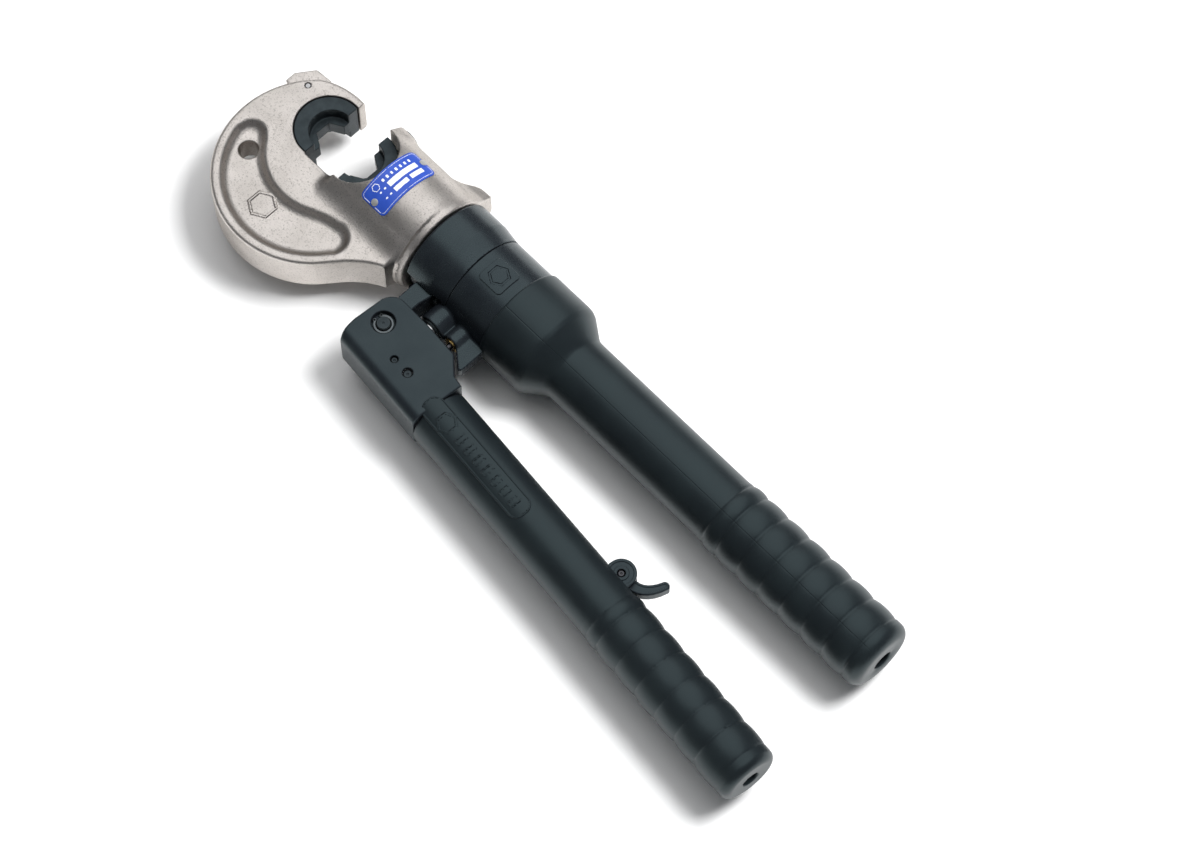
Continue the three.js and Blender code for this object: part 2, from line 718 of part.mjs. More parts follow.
function leverBlock() {
  const solid = common(plate(leverBlockOutline(), -30, 30, 8), leverBlockBar());
  const fork = box([-44, -30, -FORK_HALF], [20, 4.4, FORK_HALF]);
  const heel = box([-60, -30, -30], [-49, -LEVER_R, 30]);
  const socketR = LEVER_TUBE_R + GAP;
  const socketEnd = TUBE_FRONT + 0.6;
  const socket = turned([[-60, 0], [-60, socketR], [socketEnd, socketR], [socketEnd, 0]], MEDIUM);
  const recesses = [1, -1].map((side) => {
    return rod([...PIVOT_LOCAL, side * 12.6], [...PIVOT_LOCAL, side * 20], 6.7, 24);
  });
  const bores = [[PIVOT_LOCAL, PIN_R + GAP], [CRANK_PIN, 2.2], [TUBE_PIN, 2.9]];
  const holes = bores.map(([at, r]) => rod([...at, -20], [...at, 20], r, r > PIN_R ? 16 : COARSE));
  const blindBore = rod([...DRIVE, -20], [...DRIVE, 13.3], 2.3);
  return cut(solid, fork, heel, socket, blindBore, ...recesses, ...holes);
}

// That section, drawn in y and z, as a bar along the block.
function leverBlockBar() {
  const settings = { depth: 90, bevelEnabled: false, curveSegments: 6 };
  const swap = new THREE.Matrix4().set(0, 0, 1, -70, 1, 0, 0, 0, 0, 1, 0, 0, 0, 0, 0, 1);
  return new THREE.ExtrudeGeometry(leverBlockSection(), settings).applyMatrix4(swap);
}

function pivotPin() {
  return rod([...PIVOT_LOCAL, -15.4], [...PIVOT_LOCAL, 15.4], PIN_R, 16);
}

function circlip(side) {
  const [x, y] = PIVOT_LOCAL;
  const shape = new THREE.Shape();
  shape.absarc(x, y, 5.9, 0.35, 2 * Math.PI - 0.35, false);
  shape.absarc(x, y, PIN_R + 0.3, 2 * Math.PI - 0.35, 0.35, true);
  const low = side > 0 ? 12.9 : -14;
  return plate(shape, low, low + 1.1, 10);
}

function driveRoller() {
  const wheel = rod([...DRIVE, -7.6], [...DRIVE, 7.6], 4.2, 14);
  return cut(wheel, rod([...DRIVE, -20], [...DRIVE, 20], 2.3));
}

function drivePin() {
  return rod([...DRIVE, -13], [...DRIVE, 13], 2);
}

function leverTube() {
  const r = LEVER_TUBE_R;
  const bore = LEVER_TUBE_BORE;
  const tube = turned([[-312, bore], [-312, r], [TUBE_FRONT, r], [TUBE_FRONT, bore], [-312, bore]], MEDIUM);
  const slot = box([TRIGGER_HUB[0] - 14, -20, -7.2], [TRIGGER_HUB[0] + 12, -4, 7.2]);
  return cut(tube, slot, rod([...TUBE_PIN, -20], [...TUBE_PIN, 20], 2.9));
}

function leverGrip() {
  const outside = [
    [LEVER_END_X, 5], [LEVER_END_X, 12], [-318.6, 15.4], [-315.6, 17.6], [-313, 17.9],
    ...arches(LEVER_CREASES, 17.6, 0.7, 3),
    [-201.6, LEVER_R], [LEVER_SEAM_X - GAP, LEVER_R],
  ];
  const inside = [
    [LEVER_SEAM_X - GAP, LEVER_TUBE_R + GAP], [-312.3, LEVER_TUBE_R + GAP], [-312.3, 8], [-318, 8],
    [-318, 5], [LEVER_END_X, 5],
  ];
  const slot = box([TRIGGER_HUB[0] - 17.6, -20, -7.2], [TRIGGER_HUB[0] + 9.6, -9, 7.2]);
  return cut(turned(outside.concat(inside), MEDIUM), slot);
}

function leverEndPlug() {
  return turned([[-317, 0], [-317, 7.6], [-312, 7.6], [-312, 11.8], [-306, 11.8], [-306, 0]], 14);
}

// ---------------------------------------------------------------- release trigger

function triggerBracket() {
  const [x, y] = TRIGGER_HUB;
  const shape = new THREE.Shape();
  shape.moveTo(x - 8.4, y + 9);
  shape.lineTo(x - 8.4, y);
  shape.absarc(x, y, 8.4, Math.PI, 2 * Math.PI, false);
  shape.lineTo(x + 8.4, y + 9);
  const cheeks = plate(shape, -6.6, 6.6, 9);
  const slot = box([x - 20, y - 20, -4], [x + 20, y + 7, 4]);
  const armWay = box([x - 2, y + 6, -4], [x + 20, y + 20, 4]);
  return cut(cheeks, slot, armWay, rod([x, y, -20], [x, y, 20], 2.3, 16));
}

function triggerPin() {
  const [x, y] = TRIGGER_HUB;
  return rod([x, y, -6], [x, y, 6], 2, 16);
}

function releaseTrigger() {
  const [x, y] = TRIGGER_HUB;
  const hub = plate(disc(x, y, 6.4), -TRIGGER_HALF, TRIGGER_HALF, 9);
  const path = new THREE.Shape();
  path.moveTo(x - 3, y - 4.6);
  path.quadraticCurveTo(x - 13, y - 2.4, x - 16.6, y - 14.6);
  path.absarc(x - 19.2, y - 14, 2.7, -0.25, -2.9, true);
  path.quadraticCurveTo(x - 19, y + 2.6, x - 3, y + 3);
  const finger = plate(path, -TRIGGER_HALF, TRIGGER_HALF, 7);
  const armOutline = polygon([[x - 0.6, y + 4], [x + 4, y + 4], [x + 4, y + 11.6], [x + 1, y + 11.6]]);
  const arm = plate(armOutline, -TRIGGER_HALF, TRIGGER_HALF);
  return cut(join(hub, finger, arm), rod([x, y, -20], [x, y, 20], 2.3, 16));
}

function rodSpring() {
  return spring(ROD_R + 0.75, 0.5, 8, 5).applyMatrix4(ALONG_X).translate(TRIGGER_HUB[0] + 14, ROD_Y, 0);
}

function releaseRod() {
  const start = TRIGGER_HUB[0] + 4.4;
  return rod([start, ROD_Y, 0], [CRANK_PIN[0] - 5, ROD_Y, 0], ROD_R);
}

function releaseCrank() {
  const [x, y] = CRANK_PIN;
  const arm = polygon([
    [x - 4, y + 2], [x - 4, y - 16.4], [x - 14, y - 19.4], [x - 14, y - 26.2], [x - 4.9, y - 26.2],
    [x - 3.6, y - 19.6], [x, y - 13.6], [x + 3.4, y - 4], [x + 3.4, y + 2],
  ]);
  return cut(plate(arm, -5, 5), rod([x, y, -20], [x, y, 20], 2.2));
}

function crankPin() {
  return rod([...CRANK_PIN, -15], [...CRANK_PIN, 15], 1.9);
}

function tubePin() {
  return rod([...TUBE_PIN, -14.6], [...TUBE_PIN, 14.6], 2.5);
}

// ---------------------------------------------------------------- assembly

function assembleHead() {
  place(tool, 'head_frame', headFrame(), NICKEL);
  place(tool, 'rating_plate', ratingPlate(), BLUE_PLATE);
  place(tool, 'plate_rivet_upper', plateRivet(RIVET_ANGLES.upper), STEEL);
  place(tool, 'plate_rivet_lower', plateRivet(RIVET_ANGLES.lower), STEEL);
  place(tool, 'upper_die', upperDie(), BLUED);
  place(tool, 'upper_die_pin', upperDiePin(), STEEL);
  place(tool, 'upper_pin_spring', upperPinSpring(), SPRING_STEEL);
  place(tool, 'upper_pin_keeper', upperPinKeeper(), STEEL);
  place(tool, 'lower_die', lowerDie(), BLUED);
  place(tool, 'lower_die_button', lowerDieButton(), BLUED);
  place(tool, 'lower_button_spring', lowerButtonSpring(), SPRING_STEEL);
  place(tool, 'ram', ram(), GROUND);
  place(tool, 'ram_seal', ramSeal(), SEAL);
  place(tool, 'ram_return_spring', returnSpring(), SPRING_STEEL);
}

function assembleBody() {
  place(tool, 'pump_block', pumpBlock(), BLACK_BODY);
  place(tool, 'front_collar', frontCollar(), BLACK_BODY);
  place(tool, 'swivel_seal', swivelSeal(), SEAL);
  place(tool, 'swivel_wire', swivelWire(), SPRING_STEEL);
  place(tool, 'handle_tube', handleTube(), STEEL);
  place(tool, 'oil_bladder', oilBladder(), SEAL);
  place(tool, 'main_grip', mainGrip(), BLACK_RUBBER);
  place(tool, 'reservoir_plug', reservoirPlug(), BLUED);
  place(tool, 'suction_ball', suctionBall(), GROUND);
  place(tool, 'suction_spring', suctionSpring(), SPRING_STEEL);
  place(tool, 'suction_screen', suctionScreen(), BRASS);
  place(tool, 'delivery_ball', deliveryBall(), GROUND);
  place(tool, 'delivery_spring', deliverySpring(), SPRING_STEEL);
  place(tool, 'delivery_plug', deliveryPlug(), BLUED);
  place(tool, 'relief_ball', reliefBall(), GROUND);
  place(tool, 'relief_spring', reliefSpring(), SPRING_STEEL);
  place(tool, 'relief_screw', reliefScrew(), BRASS);
  place(tool, 'plunger_gland', plungerGland(), BRASS);
  place(tool, 'pump_plunger', pumpPlunger(), GROUND);
  place(tool, 'release_seat', releaseSeat(), BRASS);
  place(tool, 'release_stem', releaseStem(), STEEL);
}

function assembleLever() {
  place(lever, 'lever_block', leverBlock(), BLACK_BODY);
  place(lever, 'pivot_pin', pivotPin(), STEEL);
  place(lever, 'pivot_circlip_upper', circlip(1), SPRING_STEEL);
  place(lever, 'pivot_circlip_lower', circlip(-1), SPRING_STEEL);
  place(lever, 'drive_roller', driveRoller(), GROUND);
  place(lever, 'drive_pin', drivePin(), STEEL);
  place(lever, 'lever_tube', leverTube(), STEEL);
  place(lever, 'lever_grip', leverGrip(), BLACK_RUBBER);
  place(lever, 'lever_end_plug', leverEndPlug(), BLUED);
  place(lever, 'tube_pin', tubePin(), STEEL);
  place(lever, 'crank_pin', crankPin(), STEEL);
  place(lever, 'release_crank', releaseCrank(), BLUED);
  place(lever, 'release_rod', releaseRod(), STEEL);
  place(lever, 'trigger_bracket', triggerBracket(), BLACK_BODY);
  place(lever, 'trigger_pin', triggerPin(), STEEL);
  place(lever, 'release_trigger', releaseTrigger(), BLACK_BODY);
  place(lever, 'rod_spring', rodSpring(), SPRING_STEEL);
}

assembleHead();
assembleBody();
assembleLever();

// The origin is on the floor, under the middle of the tool's box.
tool.updateMatrixWorld(true);
const bounds = new THREE.Box3().setFromObject(tool, true);
const middle = bounds.getCenter(new THREE.Vector3());
tool.position.set(-middle.x, -middle.y, -bounds.min.z);
tool.updateMatrixWorld(true);

export default tool;
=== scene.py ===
"""Looks of the hand-pumped hydraulic crimping tool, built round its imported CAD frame.

Shapes are worked out in millimetres in the tool's own axes: x runs along the main axis from the butt of
the fixed handle, y points at the pumping lever, z is up and z = 0 is the tool's mid-plane. The lever's
pieces use a second set of axes, fixed to the lever. Most pieces are signed distance fields that are turned
into meshes.
"""

import json
import math

import bpy
import numpy as np
from mathutils import Matrix, Vector


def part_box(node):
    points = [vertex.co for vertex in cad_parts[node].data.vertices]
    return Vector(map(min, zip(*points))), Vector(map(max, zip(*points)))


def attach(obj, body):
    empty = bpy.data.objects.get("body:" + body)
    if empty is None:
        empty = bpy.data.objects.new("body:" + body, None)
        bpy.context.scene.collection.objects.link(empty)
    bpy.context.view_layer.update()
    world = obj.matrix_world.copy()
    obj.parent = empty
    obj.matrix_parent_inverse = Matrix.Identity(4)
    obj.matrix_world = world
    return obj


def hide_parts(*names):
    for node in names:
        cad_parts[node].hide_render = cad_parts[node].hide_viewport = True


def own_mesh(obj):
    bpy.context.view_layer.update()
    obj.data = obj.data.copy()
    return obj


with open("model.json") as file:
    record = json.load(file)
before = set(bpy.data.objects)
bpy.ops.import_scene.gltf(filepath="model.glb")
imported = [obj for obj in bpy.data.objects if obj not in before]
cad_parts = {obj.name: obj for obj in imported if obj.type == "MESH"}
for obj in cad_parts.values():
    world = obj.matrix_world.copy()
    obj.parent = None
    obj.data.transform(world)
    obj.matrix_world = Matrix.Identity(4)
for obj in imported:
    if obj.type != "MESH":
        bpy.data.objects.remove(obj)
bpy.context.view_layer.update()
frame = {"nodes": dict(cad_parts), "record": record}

# ---------------------------------------------------------------- the tool's axes in the frame

MM = 0.001
grip_low, grip_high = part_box("main_grip")
ORIGIN = np.array([grip_low.x, (grip_low.y + grip_high.y) / 2, (grip_low.z + grip_high.z) / 2])
LEVER_STATION = (320.0, 67.4)
LEVER_ANGLE = math.radians(-5.15)

# ---------------------------------------------------------------- main sizes, in millimetres

PLATE_HALF = 13.5
BARREL_R = 30.3
FACE_X = 336.8
BARREL_END_X = 404.0
BORE_R = 21.0
NOSE_BORE_R = 25.0
NOSE_BORE_END = 352.0
RAM_WAY_END = 414.5
RIM_CENTRE = (415.5, 23.8)
RIM_R = 57.7
POCKET_R = 52.4
POCKET_DEPTH = 4.6
HANG_HOLE = (452.3, 40.1, 5.6)
HEAD_MARK = (421.4, 57.3, 6.9)
BOSS_FACE = (467.5, -16.4)
BOSS_NORMAL = (0.819, -0.574)
BUTTON_X = 399.2
JAW_END_X = 427.2
SEAT_R = 19.9
DIE_R = 19.6
UPPER_DIE_X = 429.8
UPPER_FLAT_X = 428.0
LOWER_DIE_X = 401.7
LOWER_FLAT_X = 403.5
THROAT_R = 20.5
DIE_HALF = 12.8
PLATE_ENDS = (363.2, 382.4)
RIVET_ANGLES = (34, -37)
BODY_R = 28.8
COLLAR_R = 30.6
PLUNGER_X = 305.0
VALVE_X = 290.3
LUG_PIN = (320, 60.1)
LUG_HALF = 9.0
FIN_HALF = 3.8
SLEEVE_R = 30.0
SLEEVE_LIP_X = 277.5
TUBE_R = 20.2
BUTT_ROUNDING = 6.0
LEVER_R = 17.4
LEVER_SEAM_X = -56.0
LEVER_END_X = -320.0
PIVOT = (0.66, -7.27)
CRANK_PIN = (-20.6, 1.6)
TUBE_PIN = (-31.4, 0.9)
TRIGGER_HUB = (-190.4, -18.4)
CHEEK_HALF = 16.4
FORK_HALF = 9.6
LEVER_BORE_R = 14.6
MAIN_CREASES = (10, 26, 41.8, 57.6, 73.4, 89.3, 104.7, 115)
LEVER_CREASES = (-311, -294.4, -278, -261.7, -245.4, -229, -213.2, -204.6)

# ---------------------------------------------------------------- distance fields


def both(a, b, r):
    """What a and b share, with its edge rounded to radius r."""
    return np.minimum(np.maximum(a, b), -r) + np.hypot(np.maximum(a + r, 0), np.maximum(b + r, 0))


def either(a, b, r):
    """a joined to b, with a fillet of radius r between them."""
    return -both(-a, -b, r)


def less(a, b, r):
    """a with b cut away."""
    return both(a, -b, r)


def between(value, low, high):
    return np.abs(value - (low + high) / 2) - (high - low) / 2


def arc(cx, cy, radius, start, end, steps):
    angles = np.linspace(start, end, steps + 1)
    return [(cx + radius * math.cos(a), cy + radius * math.sin(a)) for a in angles]


def bend(start, pull, end, steps=8):
    """Points of a quadratic curve, without its first one."""
    points = []
    for t in np.linspace(0, 1, steps + 1)[1:]:
        a, b, c = (1 - t) ** 2, 2 * t * (1 - t), t * t
        points.append(tuple(a * s + b * p + c * e for s, p, e in zip(start, pull, end)))
    return points


def outline(points):
    """The signed distance to a closed outline, as a function of two coordinates."""
    corners = np.array(points, float)

    def distance(x, y):
        x, y = np.broadcast_arrays(x, y)
        nearest = np.full(x.shape, 1e9)
        inside = np.zeros(x.shape, bool)
        for (ax, ay), (bx, by) in zip(corners, np.roll(corners, -1, axis=0)):
            ex, ey = bx - ax, by - ay
            length = ex * ex + ey * ey
            if length < 1e-12:
                continue
            wx, wy = x - ax, y - ay
            t = np.clip((wx * ex + wy * ey) / length, 0, 1)
            nearest = np.minimum(nearest, (wx - ex * t) ** 2 + (wy - ey * t) ** 2)
            if ey != 0:
                inside ^= ((ay > y) != (by > y)) & (wx < wy * ex / ey)
        return np.where(inside, -1, 1) * np.sqrt(nearest)

    return distance


def hexagon(dx, dy, apothem):
    """A hexagon with flats across dx and corners on dy."""
    dx, dy = np.abs(dx), np.abs(dy)
    return np.maximum(dx, 0.5 * dx + 0.866 * dy) - apothem


def soft_step(value, low, high):
    t = np.clip((value - low) / (high - low), 0, 1)
    return t * t * (3 - 2 * t)


# ---------------------------------------------------------------- meshes

EDGES = [(a, a | bit) for bit in (1, 2, 4) for a in range(8) if not a & bit]
REFINEMENTS = 3
LEAST_STEEPNESS = 0.3
PROBE = 0.02
LATHE_STEPS = 56
SHARP_EDGE = math.radians(30)


def net(distance, low, high, cell):
    """Vertices, faces and normals of a field's zero surface, found by the surface nets method."""
    counts = [int(math.ceil((h - l) / cell)) + 1 for l, h in zip(low, high)]
    axes = [l + cell * np.arange(n) for l, n in zip(low, counts)]
    x, y, z = axes[0][:, None, None], axes[1][None, :, None], axes[2][None, None, :]
    field = np.broadcast_to(distance(x, y, z), counts)
    solid = field < 0

    def corner(a, array):
        return array[tuple(slice(1, None) if a & bit else slice(None, -1) for bit in (1, 2, 4))]

    filled = sum(corner(a, solid).astype(np.int8) for a in range(8))
    active = (filled > 0) & (filled < 8)
    cells = np.argwhere(active)
    number = np.full(active.shape, -1)
    number[active] = np.arange(len(cells))
    values = np.stack([corner(a, field)[active] for a in range(8)])
    total = np.zeros((len(cells), 3))
    hits = np.zeros(len(cells))
    for a, b in EDGES:
        crossed = (values[a] < 0) != (values[b] < 0)
        t = np.where(crossed, values[a] / np.where(crossed, values[a] - values[b], 1), 0)
        start = np.array([bool(a & bit) for bit in (1, 2, 4)], float)
        along = np.array([bool(b & bit) for bit in (1, 2, 4)], float) - start
        total += np.where(crossed[:, None], start + t[:, None] * along, 0)
        hits += crossed
    points = np.array(low) + cell * (cells + total / hits[:, None])

    faces = []
    for axis in range(3):
        u, v = (axis + 1) % 3, (axis + 2) % 3
        here = [slice(1, -1)] * 3
        here[axis] = slice(None, -1)
        there = list(here)
        there[axis] = slice(1, None)
        first, second = solid[tuple(here)], solid[tuple(there)]
        for crossing, order in ((first & ~second, (0, 1, 3, 2)), (~first & second, (0, 2, 3, 1))):
            at = np.argwhere(crossing)
            at[:, u] += 1
            at[:, v] += 1
            around = []
            for du, dv in ((-1, -1), (0, -1), (-1, 0), (0, 0)):
                near = at.copy()
                near[:, u] += du
                near[:, v] += dv
                around.append(number[tuple(near.T)])
            faces.append(np.stack([around[k] for k in order], axis=1))
    faces = np.concatenate(faces)

    for _ in range(REFINEMENTS):
        value, slope = gradient(distance, points)
        steepness = np.maximum((slope**2).sum(1), LEAST_STEEPNESS)
        move = slope * (value / steepness)[:, None]
        points -= np.clip(move, -cell / 2, cell / 2)
    _, slope = gradient(distance, points)
    normals = slope / np.maximum(np.linalg.norm(slope, axis=1), 1e-6)[:, None]
    return points, faces, normals


def gradient(distance, points):
    """A field's value and slope at each point."""
    x, y, z = points.T
    value = distance(x, y, z)
    slope = np.stack(
        [
            distance(x + PROBE, y, z) - distance(x - PROBE, y, z),
            distance(x, y + PROBE, z) - distance(x, y - PROBE, z),
            distance(x, y, z + PROBE) - distance(x, y, z - PROBE),
        ],
        axis=1,
    )
    return value, slope / (2 * PROBE)


def swing(x, y):
    """Turns a direction from the lever's axes to the tool's."""
    c, s = math.cos(LEVER_ANGLE), math.sin(LEVER_ANGLE)
    return c * x - s * y, s * x + c * y


def to_frame(points, on_lever=False):
    """Points in the tool's or the lever's axes, moved to the frame."""
    points = np.array(points, float)
    if on_lever:
        x, y = swing(points[:, 0], points[:, 1])
        points = np.stack([LEVER_STATION[0] + x, LEVER_STATION[1] + y, points[:, 2]], axis=1)
    return ORIGIN + points * MM


def turn_normals(normals, on_lever):
    if not on_lever:
        return normals
    return np.stack([*swing(normals[:, 0], normals[:, 1]), normals[:, 2]], axis=1)


def piece(name, points, faces, material, body, stands_for=(), on_lever=False, normals=None):
    """A mesh object in the frame, smooth shaded, riding on a body."""
    mesh = bpy.data.meshes.new(name)
    mesh.from_pydata(to_frame(points, on_lever).tolist(), [], [list(f) for f in faces])
    mesh.validate()
    mesh.shade_smooth()
    if normals is not None:
        mesh.normals_split_custom_set_from_vertices(turn_normals(normals, on_lever).tolist())
    mesh.materials.append(material)
    thing = bpy.data.objects.new(name, mesh)
    bpy.context.scene.collection.objects.link(thing)
    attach(thing, body)
    if stands_for:
        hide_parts(*stands_for)
    return thing


def sculpt(name, distance, low, high, cell, material, body, stands_for=(), on_lever=False):
    """A piece made from a distance field."""
    points, faces, normals = net(distance, low, high, cell)
    return piece(name, points, faces, material, body, stands_for, on_lever, normals)


def tube(xs, angles, radius):
    """A surface round the x axis: radius(x, angle) with angle 0 at +z and growing towards +y."""
    x, a = np.meshgrid(xs, angles, indexing="ij")
    r = radius(x, a)
    points = np.stack([x, r * np.sin(a), r * np.cos(a)], axis=2).reshape(-1, 3)
    rows, columns = len(xs), len(angles)
    i, j = np.meshgrid(np.arange(rows - 1), np.arange(columns), indexing="ij")
    k = (j + 1) % columns
    quads = np.stack([i * columns + j, (i + 1) * columns + j, (i + 1) * columns + k, i * columns + k], axis=2)
    return points, [tuple(q) for q in quads.reshape(-1, 4)]


def turned(name, profile, start, direction, material, body, stands_for, on_lever=False, ring=False):
    """A lathe-turned piece: profile pairs are (distance along the axis, radius)."""
    start, axis = np.array(start, float), np.array(direction, float)
    axis /= np.linalg.norm(axis)
    side = np.cross(axis, (0, 0, 1) if abs(axis[2]) < 0.9 else (1, 0, 0))
    side /= np.linalg.norm(side)
    other = np.cross(axis, side)
    points, faces, rows = [], [], []
    for along, r in profile:
        if r == 0:
            rows.append([len(points)])
            points.append(start + axis * along)
            continue
        rows.append(list(range(len(points), len(points) + LATHE_STEPS)))
        for k in range(LATHE_STEPS):
            a = 2 * math.pi * k / LATHE_STEPS
            points.append(start + axis * along + r * (math.cos(a) * side + math.sin(a) * other))
    pairs = list(zip(rows, rows[1:])) + ([(rows[-1], rows[0])] if ring else [])
    for first, second in pairs:
        for k in range(LATHE_STEPS):
            n = (k + 1) % LATHE_STEPS
            corners = [first[k % len(first)], first[n % len(first)]]
            corners += [second[n % len(second)], second[k % len(second)]]
            distinct = tuple(dict.fromkeys(corners))
            if len(distinct) > 2:
                faces.append(distinct)
    thing = piece(name, points, faces, material, body, stands_for, on_lever)
    thing.data.set_sharp_from_angle(angle=SHARP_EDGE)
    return thing


def sleeve(low, high, r, bore, chamfer=0.4):
    """The closed profile of a bushing, for turned(ring=True)."""
    return [
        (low, bore + 0.15), (low, r - chamfer), (low + chamfer, r), (high - chamfer, r), (high, r - chamfer),
        (high, bore + 0.15), (high - 0.15, bore), (low + 0.15, bore),
    ]


# ---------------------------------------------------------------- materials


class Paint:
    """A Principled material with helpers for its procedural nodes."""

    def __init__(self, name, **fixed):
        self.material = bpy.data.materials.new(name)
        self.material.use_nodes = True
        self.tree = self.material.node_tree
        self.shader = self.tree.nodes["Principled BSDF"]
        for socket, value in fixed.items():
            self.shader.inputs[socket.replace("_", " ")].default_value = value
        self.place = self.node("ShaderNodeTexCoord").outputs["Object"]

    def node(self, kind, **settings):
        made = self.tree.nodes.new(kind)
        for key, value in settings.items():
            setattr(made, key, value)
        return made

    def link(self, source, target):
        self.tree.links.new(source, target)

    def noise(self, size_mm, detail=3.0, rough=0.55, stretch=None):
        """Noise whose grains are about size_mm across."""
        made = self.node("ShaderNodeTexNoise")
        made.inputs["Scale"].default_value = 1 / (size_mm * MM)
        made.inputs["Detail"].default_value = detail
        made.inputs["Roughness"].default_value = rough
        source = self.place
        if stretch:
            mapping = self.node("ShaderNodeMapping")
            mapping.inputs["Scale"].default_value = stretch
            self.link(self.place, mapping.inputs["Vector"])
            source = mapping.outputs["Vector"]
        self.link(source, made.inputs["Vector"])
        return made.outputs["Fac"]

    def spread(self, value, low, high, to_low=0.0, to_high=1.0):
        made = self.node("ShaderNodeMapRange")
        self.link(value, made.inputs["Value"])
        for socket, number in zip(("From Min", "From Max", "To Min", "To Max"), (low, high, to_low, to_high)):
            made.inputs[socket].default_value = number
        return made.outputs["Result"]

    def mix(self, factor, first, second):
        made = self.node("ShaderNodeMix", data_type="RGBA")
        self.link(factor, made.inputs["Factor"])
        for socket, colour in zip((made.inputs[6], made.inputs[7]), (first, second)):
            if isinstance(colour, tuple):
                socket.default_value = (*colour, 1)
            else:
                self.link(colour, socket)
        return made.outputs[2]

    def math(self, operation, first, second):
        made = self.node("ShaderNodeMath", operation=operation)
        for socket, value in zip(made.inputs, (first, second)):
            if isinstance(value, (int, float)):
                socket.default_value = value
            else:
                self.link(value, socket)
        return made.outputs[0]

    def edges(self, low, high):
        """1 on convex edges, 0 on flats."""
        return self.spread(self.node("ShaderNodeNewGeometry").outputs["Pointiness"], low, high)

    def colour(self, value):
        self.link(value, self.shader.inputs["Base Color"])

    def roughness(self, value):
        self.link(value, self.shader.inputs["Roughness"])

    def bump(self, height, depth_mm):
        made = self.node("ShaderNodeBump")
        made.inputs["Strength"].default_value = 1.0
        made.inputs["Distance"].default_value = depth_mm * MM
        self.link(height, made.inputs["Height"])
        before = self.shader.inputs["Normal"].links
        if before:
            self.link(before[0].from_socket, made.inputs["Normal"])
        self.link(made.outputs["Normal"], self.shader.inputs["Normal"])


def shot_blasted():
    """Nickel plate over a shot-blasted forging: warm satin silver with pits and soft clouds."""
    paint = Paint("shot_blasted_nickel", Metallic=1.0, Specular_Tint=(0.55, 0.54, 0.52, 1))
    clouds = paint.noise(16, 4)
    grain = paint.noise(0.9, 3, 0.6)
    pits = paint.noise(0.42, 2, 0.5)
    tone = paint.mix(paint.spread(clouds, 0.35, 0.65), (0.64, 0.60, 0.565), (0.74, 0.695, 0.66))
    paint.colour(paint.mix(paint.spread(grain, 0.28, 0.46), (0.40, 0.375, 0.35), tone))
    paint.roughness(paint.spread(grain, 0.3, 0.7, 0.42, 0.29))
    paint.bump(paint.math("ADD", grain, paint.math("MULTIPLY", pits, 0.7)), 0.16)
    return paint.material


def black_rubber():
    """Moulded satin rubber with a fine even grain and faint rubbed patches."""
    paint = Paint("grip_rubber", Metallic=0.0, Specular_IOR_Level=0.5, Specular_Tint=(0.72, 0.95, 1.0, 1))
    patches = paint.noise(22, 4)
    grain = paint.noise(0.5, 2)
    patchy = paint.spread(patches, 0.35, 0.7)
    paint.colour(paint.mix(patchy, (0.008, 0.0105, 0.0125), (0.0105, 0.0145, 0.0165)))
    paint.roughness(paint.spread(patches, 0.3, 0.7, 0.36, 0.43))
    paint.bump(grain, 0.012)
    return paint.material


def black_coating(name, rough, grain_mm, depth_mm):
    """Black satin coating on metal; corners are worn a little lighter."""
    paint = Paint(name, Metallic=0.0, Specular_IOR_Level=0.55, Specular_Tint=(0.7, 0.95, 1.0, 1))
    patches = paint.noise(14, 4)
    grain = paint.noise(grain_mm, 3)
    base = paint.mix(paint.spread(patches, 0.35, 0.7), (0.008, 0.0095, 0.0125), (0.012, 0.0145, 0.0175))
    paint.colour(paint.mix(paint.edges(0.53, 0.66), base, (0.035, 0.042, 0.048)))
    paint.roughness(paint.spread(grain, 0.3, 0.7, rough - 0.03, rough + 0.05))
    paint.bump(grain, depth_mm)
    return paint.material


def blued_steel():
    """Blued tool steel, blue-black, with bright worn corners."""
    paint = Paint("blued_steel", Metallic=0.75, Specular_IOR_Level=0.5)
    patches = paint.noise(6, 4)
    grain = paint.noise(0.5, 3)
    base = paint.mix(paint.spread(patches, 0.35, 0.7), (0.028, 0.037, 0.042), (0.043, 0.056, 0.062))
    paint.colour(paint.mix(paint.edges(0.55, 0.68), base, (0.16, 0.18, 0.185)))
    paint.roughness(paint.spread(grain, 0.3, 0.7, 0.36, 0.5))
    paint.bump(grain, 0.02)
    return paint.material


def bright_steel(name, tone, rough, stretch):
    """Turned or drawn steel with fine lines."""
    paint = Paint(name, Metallic=1.0)
    lines = paint.noise(0.6, 2, 0.5, stretch)
    soil = paint.noise(4, 3)
    darker = tuple(0.8 * c for c in tone)
    paint.colour(paint.mix(paint.spread(soil, 0.35, 0.65), darker, tone))
    paint.roughness(paint.spread(lines, 0.3, 0.7, rough - 0.05, rough + 0.08))
    paint.bump(lines, 0.015)
    return paint.material


def nitrile():
    """Matt seal rubber."""
    paint = Paint("seal_rubber", Metallic=0.0, Specular_IOR_Level=0.3)
    grain = paint.noise(0.6, 2)
    paint.colour(paint.mix(grain, (0.012, 0.012, 0.013), (0.022, 0.022, 0.023)))
    paint.roughness(paint.spread(grain, 0.3, 0.7, 0.55, 0.68))
    paint.bump(grain, 0.01)
    return paint.material


def enamel(name, tone, pale):
    """Printed enamel on a thin plate, slightly uneven."""
    paint = Paint(name, Metallic=0.0, Specular_IOR_Level=0.5)
    wave = paint.noise(5, 3)
    dust = paint.noise(0.7, 2)
    paint.colour(paint.mix(paint.spread(wave, 0.3, 0.7), tone, pale))
    paint.roughness(paint.spread(dust, 0.3, 0.7, 0.3, 0.42))
    paint.bump(dust, 0.008)
    return paint.material


